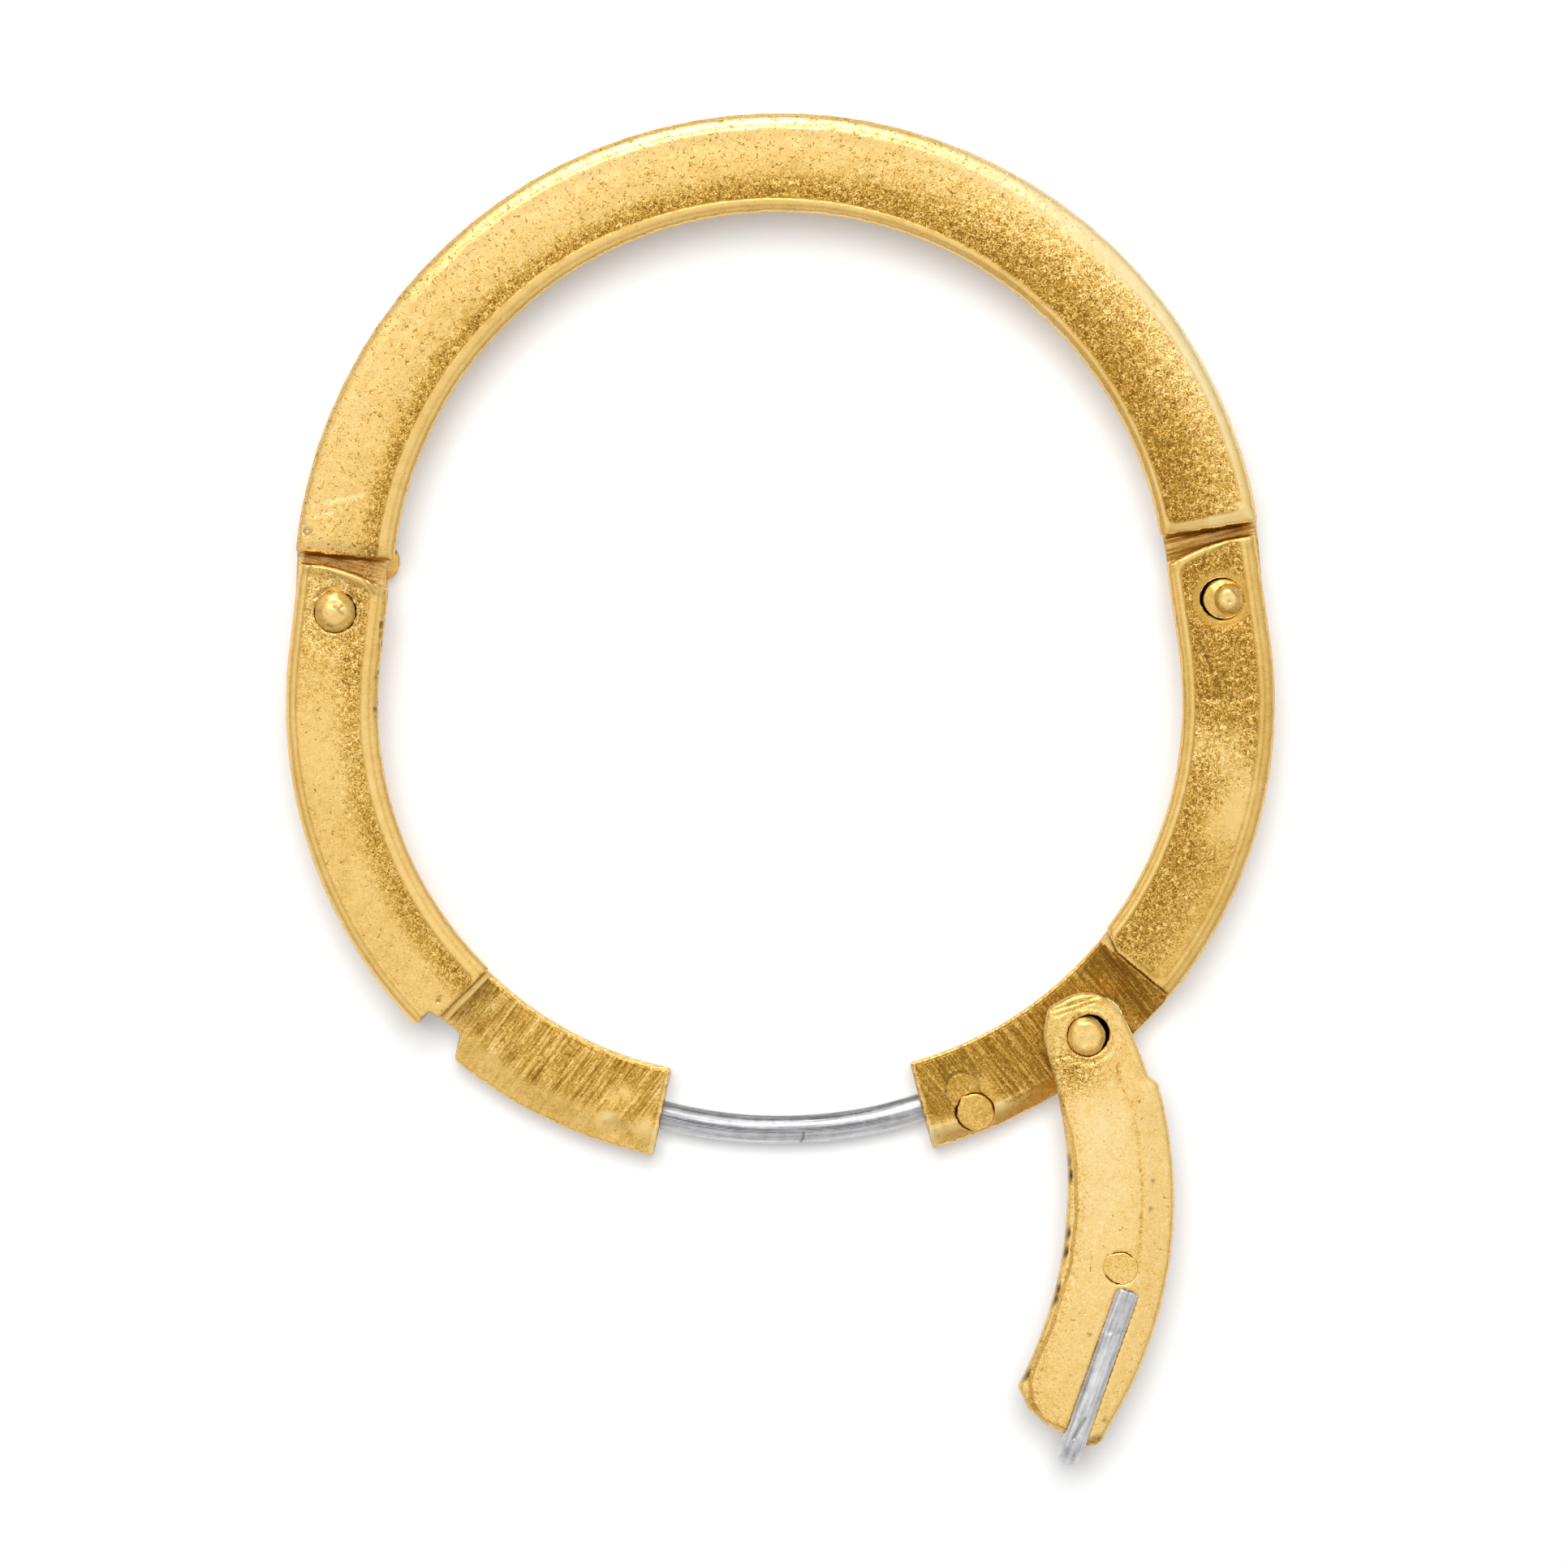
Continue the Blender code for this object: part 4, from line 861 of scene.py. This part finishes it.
def shape_lever(points, normals):
    """Lever: bowed back, a step along its hollow edge, a crease, a worn eye and pitted edges."""
    along, across, hollow, bowed = lever_place(points)
    front = ease(0.35, 0.75, normals[:, 2]) * ease(2.1, 2.25, points[:, 2])
    points = points.copy()
    body = ease(1.3, 2.4, along)
    lip = path_side(points, [spot(pixel) for pixel in LEVER_LIP])
    body_step = ease(1.0, 1.6, along)
    toe = ridge(near(points, LEVER_TOE), 0.0, 0.30) * (lip < 0.0)
    points[:, :2] += 0.09 * toe[:, None] * np.array(LEVER_TOE_WAY)
    corner = ridge(near(points, LEVER_EYE_CORNER), 0.0, 0.25)
    points[:, :2] += 0.09 * corner[:, None] * np.array(LEVER_EYE_CORNER_WAY)
    step = (1 - ease(-0.04, 0.02, lip)) * body_step
    step_line = ridge(lip, 0.0, 0.04) * body_step
    crease = strokes(points, (LEVER_CREASE,), 0.045)
    eye_lines = strokes(points, LEVER_EYE_LINES, 0.035)
    eye_nick = strokes(points, (LEVER_EYE_NICK,), 0.09)
    eye = np.hypot(along, across)
    eye_ring = ridge(eye, 0.60, 0.05)
    side_step = strokes(points, (LEVER_STEP,), 0.03)
    pits = dots(points, LEVER_PITS, 0.05)
    tip_pit = strokes(points, (LEVER_TIP_PIT,), 0.10)
    eye_top = ease(0.55, 0.75, -along)
    fall = 0.012 * crease + 0.02 * eye_lines + 0.04 * eye_nick + 0.015 * eye_ring + 0.02 * side_step
    fall += 0.012 * pits + 0.07 * tip_pit
    draw = 0.13 * step + 0.10 * (1 - ease(0.0, 0.85, bowed)) * body + 0.012 * eye_top
    points[:, 2] -= front * fall + draw * ease(1.6, 2.25, points[:, 2])
    open_hole(points, PIVOT_AXIS, (0.8, 0.6), 0.06)
    dull = ridge(near(points, LEVER_DULL), 0.0, 0.50)
    rubbed = ridge(lip, 0.12, 0.09) * body_step
    glow = ridge(stroke(points, LEVER_GLOW), 0.0, 0.75)
    # Painted light and shade: a lighter streak down the middle as a painted highlight, and painted shade on
    # the lowered strip along the step, the line at its edge and the eye's top
    shade = 0.14 - 0.20 * glow + 0.38 * dull + 0.08 * rubbed
    shade += 0.08 * step + 0.36 * step_line + 0.22 * crease
    shade += 0.14 * ridge(eye, 0.5, 0.5) + 0.20 * eye_lines - 0.25 * eye_nick + 0.16 * eye_top
    shade += 0.25 * side_step - 0.10 * ridge(eye, 0.66, 0.06)
    shade = np.where(front > 0.05, shade, 0.55)
    grain = 0.26 + 0.85 * dull + 0.25 * rubbed + 0.20 * crease + 0.15 * step
    grain = np.clip(grain + 0.15 * ridge(eye, 0.6, 0.3), 0, 1)
    edge_pit = dots(points, LEVER_EDGE_PITS, 0.14) * (1 - ease(0.06, 0.12, hollow))
    edge_pit = edge_pit * ease(1.95, 2.15, points[:, 2])
    points[:, 0] += 0.04 * edge_pit
    mark = np.maximum(0.95 * edge_pit, front * np.maximum(0.6 * pits, 0.45 * tip_pit))
    wall = steep(normals)
    # The pivot hole's walls take the dirt colour as painted shade
    mark = np.maximum(mark, 0.8 * wall * (eye < 0.52))
    points = roughen(points, normals, 0.3 * grain, 52)
    return points, {"grain": grain, "shade": shade, "mark": mark, "pits": 0.05 * front, "filed": 0.0}


def shape_plug(points, normals, centre, radius, level, bare):
    """Flush plug: its hammered face at a level fills its hole except along bare stretches of its edge."""
    offset = points[:, :2] - np.array(centre)
    distance = np.hypot(offset[:, 0], offset[:, 1])
    around = np.arctan2(offset[:, 1], offset[:, 0])
    gap = np.zeros(len(points))
    for middle, half in bare:
        apart = np.abs(np.angle(np.exp(1j * (around - math.radians(middle)))))
        gap = np.maximum(gap, 1 - ease(0.7, 1.0, apart / math.radians(half)))
    swell = PLUG_SWELL * (1 - 0.8 * gap) * ease(0.7, 0.95, distance / radius)
    swell = swell * (1 - ease(0.12, 0.25, np.abs(points[:, 2] - level)))
    points = points.copy()
    points[:, :2] += offset / np.maximum(distance, 0.01)[:, None] * swell[:, None]
    points = points + normals * (0.010 * lumps(points, 0.25, 61))[:, None]
    return points, {"grain": 0.3, "shade": 0.52, "mark": 0.0, "pits": 0.0, "filed": 0.0}


def shape_anchor(points, normals):
    """Anchor pin, flush with the right leg's recess floor."""
    bare = ((60, 75), (-160, 70))
    return shape_plug(points, normals, ANCHOR_CENTRE, ANCHOR_RADIUS, RECESS_FLOOR, bare)


def shape_stop(points, normals):
    """Stop pin, flush with the left leg's rear face."""
    return shape_plug(points, normals, STOP_CENTRE, STOP_RADIUS, 0.0, ())


def shape_detent(points, normals):
    """Detent plug, flush with the lever's front face and brighter than the other plugs."""
    bare = ((80, 50), (-125, 40))
    points, values = shape_plug(points, normals, DETENT_CENTRE, DETENT_RADIUS, DEPTH, bare)
    values["shade"] = 0.28
    return points, values


def shape_head(points, normals, pixel, nicks, swell, shift, dome):
    """Rivet head: a nicked dome, given by its shift, radius, height and flatness, on a sloping shoulder."""
    dome_shift, dome_radius, height, flat = dome
    high = ease(DEPTH - 0.25, DEPTH - 0.02, points[:, 2])
    gap = points[:, :2] - spot(pixel)
    distance = np.hypot(gap[:, 0], gap[:, 1])
    around = gap / np.maximum(distance, 0.01)[:, None]
    points = points.copy()
    uneven = 0.7 + 0.3 * lumps(points, 0.3, 63)
    points[:, :2] += around * (swell * uneven * ease(0.3, 0.4, distance) * high)[:, None]
    points[:, :2] += np.array(shift) * ease(DEPTH - 0.9, DEPTH - 0.3, points[:, 2])[:, None]
    from_dome = np.hypot(gap[:, 0] - dome_shift[0], gap[:, 1] - dome_shift[1])
    rise = np.clip(1 - (from_dome / dome_radius) ** 2, 0, 1)
    level = DEPTH - 0.06 * ease(0.25, 0.45, distance) + height * np.minimum(flat * rise, 1) ** 0.7
    up = ease(0.15, 0.45, normals[:, 2]) * ease(DEPTH - 0.15, DEPTH - 0.05, points[:, 2])
    points[:, 2] += up * (np.minimum(level, DEPTH + HEAD_LIMIT) - points[:, 2])
    nick = strokes(points, nicks, 0.03) * high
    points = points + normals * (0.013 * lumps(points, 0.16, 62) * high - 0.03 * nick)[:, None]
    # Dome lighter on top and darker on its flanks as painted highlight and shade; the shank in its hole
    # takes the dirt colour as painted shade
    shade = 0.47 - 0.34 * ease(0.3, 0.95, rise)
    shank = (1 - ease(DEPTH - 0.40, DEPTH - 0.25, points[:, 2])) * steep(normals)
    mark = np.maximum(0.5 * nick, 0.8 * shank)
    return points, {"grain": 0.2, "shade": shade, "mark": mark, "pits": 0.0, "filed": 0.0}


def shape_left_pin(points, normals):
    """Left hinge pin, with a wide round dome."""
    dome = ((0.0, 0.0), 0.50, 0.18, 1.0)
    return shape_head(points, normals, LEFT_PIN_AXIS, LEFT_PIN_NICKS, 0.055, (0.0, 0.0), dome)


def shape_right_pin(points, normals):
    """Right hinge pin, with a small dome off to the right."""
    dome = ((0.11, 0.0), 0.33, 0.15, 1.2)
    return shape_head(points, normals, RIGHT_PIN_AXIS, RIGHT_PIN_NICKS, 0.025, (0.02, 0.0), dome)


def shape_pivot_pin(points, normals):
    """Lever's pivot pin, with a low flat dome."""
    dome = ((0.0, 0.0), 0.48, 0.11, 1.8)
    return shape_head(points, normals, PIVOT_AXIS, (), 0.035, (-0.02, -0.01), dome)


def shape_guide(points, normals):
    """Guide wire: painted light and dark bands of reflection, grooves and a drawn line along its arc."""
    x = points[:, 0] - GUIDE_CENTRE[0]
    y = points[:, 1] - GUIDE_CENTRE[1]
    out = (np.hypot(x, y) - GUIDE_ARC) / GUIDE_RADIUS
    around = np.arctan2(points[:, 2] - GUIDE_HEIGHT, out * GUIDE_RADIUS)
    along = np.arctan2(x, -y) * GUIDE_ARC
    mark = strokes(points, (GUIDE_MARK,), 0.03) * (points[:, 2] > GUIDE_HEIGHT)
    uneven = 0.06 * lumps(np.stack((along * 3, out, out), axis=1), 1.0, 72)
    # Bands across the wire, pale on its outer half and dark at both edges, are painted reflection; the
    # grooves are drawn lines, darkened
    band = ease(-0.62, -0.50, out + uneven) * (1 - ease(-0.26, -0.14, out + uneven))
    groove = np.maximum(ridge(out, 0.0, 0.05), ridge(out, 0.16, 0.05))
    shade = 0.40 + 0.06 * band - 0.34 * groove + 0.30 * ease(0.2, 0.4, out) - 0.15 * ease(0.8, 1.0, out)
    shade -= 0.22 * (1 - ease(-0.70, -0.56, out))
    height = 0.006 * lumps(points, 0.5, 71) - 0.01 * mark - 0.010 * groove * (points[:, 2] > GUIDE_HEIGHT)
    points = points + normals * height[:, None]
    return points, {"across": around * 6.0, "along": along * 0.5, "mark": 0.7 * mark, "shade": shade}


def shape_hook(points, normals):
    """Hook wire: lines along it, two dents and a scratch; it fills its slot."""
    across, along = filed_lines(points, LEVER_REST + HOOK_LEAN, 0.12, 1.5)
    front = ease(0.3, 0.7, normals[:, 2])
    scratch = strokes(points, (HOOK_SCRATCH,), 0.035) * front
    dent = dots(points, HOOK_DENTS, 0.08) * front
    burr = ridge(near(points, HOOK_BURR), 0.0, 0.10)
    side = steep(normals)
    height = 0.008 * lumps(points, 0.4, 81) - 0.03 * scratch - 0.03 * dent + 0.03 * side + 0.08 * burr
    points = points + normals * height[:, None]
    mark = np.maximum(np.maximum(0.5 * scratch, 0.2 * dent), 0.5 * burr)
    return points, {"across": across, "along": along, "mark": mark, "shade": 0.68}


def build_pieces():
    """All twelve pieces, each in place of its CAD node."""
    gold = gold_material()
    wire = wire_material()
    fine_piece("upper_arch", "arch", ARCH_VOXEL, 3, shape_arch, gold, 1.4)
    fine_piece("left_leg", "left_leg", LEG_VOXEL, 3, shape_left_leg, gold, 1.2)
    fine_piece("right_leg", "right_leg", LEG_VOXEL, 3, shape_right_leg, gold, 1.2)
    fine_piece("latch_lever", "lever", LEVER_VOXEL, 3, shape_lever, gold, 1.9)
    small_pieces = (
        ("left_hinge_pin", "arch", shape_left_pin),
        ("right_hinge_pin", "arch", shape_right_pin),
        ("latch_pivot_pin", "right_leg", shape_pivot_pin),
        ("guide_anchor_pin", "right_leg", shape_anchor),
        ("guide_stop_pin", "left_leg", shape_stop),
        ("latch_detent_pin", "lever", shape_detent),
    )
    for node, body, shape in small_pieces:
        fine_piece(node, body, SMALL_VOXEL, 3, shape, gold)
    fine_piece("guide_wire", "right_leg", SMALL_VOXEL, 6, shape_guide, wire)
    fine_piece("latch_hook_wire", "lever", SMALL_VOXEL, 4, shape_hook, wire)


def build_floor():
    """White table under the ring, partly self-lit where it is seen."""
    mesh = bpy.data.meshes.new("table")
    half = FLOOR_HALF
    corners = [(-half, -half), (half, -half), (half, half), (-half, half)]
    corners = [(*corner, FLOOR_LEVEL) for corner in corners]
    mesh.from_pydata(corners, [], [(0, 1, 2, 3)])
    floor = bpy.data.objects.new("table", mesh)
    scene.collection.objects.link(floor)
    material, tree, shader, _ = new_material("white_table", 0.0)
    shader.inputs["Base Color"].default_value = (1.0, 1.0, 1.0, 1.0)
    shader.inputs["Roughness"].default_value = 0.9
    shader.inputs["Specular IOR Level"].default_value = 0.0
    glow = add(tree, "ShaderNodeEmission", {"Color": (1.0, 1.0, 1.0, 1.0), "Strength": 1.0})
    path = add(tree, "ShaderNodeLightPath")
    seen = work_out(tree, "MAXIMUM", path.outputs["Is Camera Ray"], path.outputs["Is Glossy Ray"])
    seen = work_out(tree, "MAXIMUM", seen, path.outputs["Is Transmission Ray"])
    seen = work_out(tree, "MULTIPLY", seen, FLOOR_GLOW)
    mixed = add(tree, "ShaderNodeMixShader", {0: seen, 1: shader.outputs[0], 2: glow.outputs[0]})
    output = tree.nodes["Material Output"]
    tree.links.new(mixed.outputs[0], output.inputs["Surface"])
    mesh.materials.append(material)


def build_light():
    """White surroundings and a lamp beyond the arch for the metal, an overhead lamp for the floor."""
    world = bpy.data.worlds.new("soft_box")
    scene.world = world
    world.use_nodes = True
    tree = world.node_tree
    background = tree.nodes["Background"]
    direction = add(tree, "ShaderNodeTexCoord").outputs["Generated"]
    parts = add(tree, "ShaderNodeSeparateXYZ", {0: direction})
    stops = [(height, (level, level, level)) for height, level in SKY_STOPS]
    sky = ramp(tree, parts.outputs["Z"], stops)
    lean = work_out(tree, "MULTIPLY_ADD", parts.outputs["Y"], SKY_LEAN[1], 1.0)
    lean = work_out(tree, "MULTIPLY_ADD", parts.outputs["X"], SKY_LEAN[0], lean)
    tree.links.new(sky, background.inputs["Color"])
    tree.links.new(lean, background.inputs["Strength"])
    world.cycles_visibility.diffuse = False
    lamp_data = bpy.data.lights.new("key", "AREA")
    lamp_data.shape = "DISK"
    lamp_data.size = KEY_SIZE
    lamp_data.energy = KEY_ENERGY
    lamp = bpy.data.objects.new("key", lamp_data)
    lamp.location = KEY_PLACE
    aim = [goal - place for goal, place in zip(KEY_AIM, KEY_PLACE)]
    length = math.sqrt(sum(value * value for value in aim))
    lamp.rotation_euler = (math.acos(-aim[2] / length), 0.0, math.atan2(aim[0], -aim[1]) + math.pi)
    lamp.visible_diffuse = False
    scene.collection.objects.link(lamp)
    overhead_data = bpy.data.lights.new("overhead", "SUN")
    overhead_data.angle = OVERHEAD_SPREAD
    overhead_data.energy = OVERHEAD_ENERGY
    overhead = bpy.data.objects.new("overhead", overhead_data)
    overhead.rotation_euler = OVERHEAD_TILT
    overhead.visible_glossy = False
    scene.collection.objects.link(overhead)


def build_camera():
    """Camera straight above the middle of the photo's frame."""
    field = PHOTO_SIZE * PIXEL
    data = bpy.data.cameras.new("camera")
    data.sensor_width = SENSOR_WIDTH
    data.lens = data.sensor_width * CAMERA_DISTANCE / field
    data.clip_start = 0.01
    camera = bpy.data.objects.new("camera", data)
    middle = spot((PHOTO_SIZE / 2, PHOTO_SIZE / 2))
    camera.location = (middle[0] * MM, middle[1] * MM, (DEPTH + CAMERA_DISTANCE) * MM)
    camera.rotation_euler = (0.0, 0.0, -ROLL)
    scene.collection.objects.link(camera)
    scene.camera = camera


build_camera()
build_pieces()
build_floor()
build_light()
scene.view_settings.view_transform = "Standard"
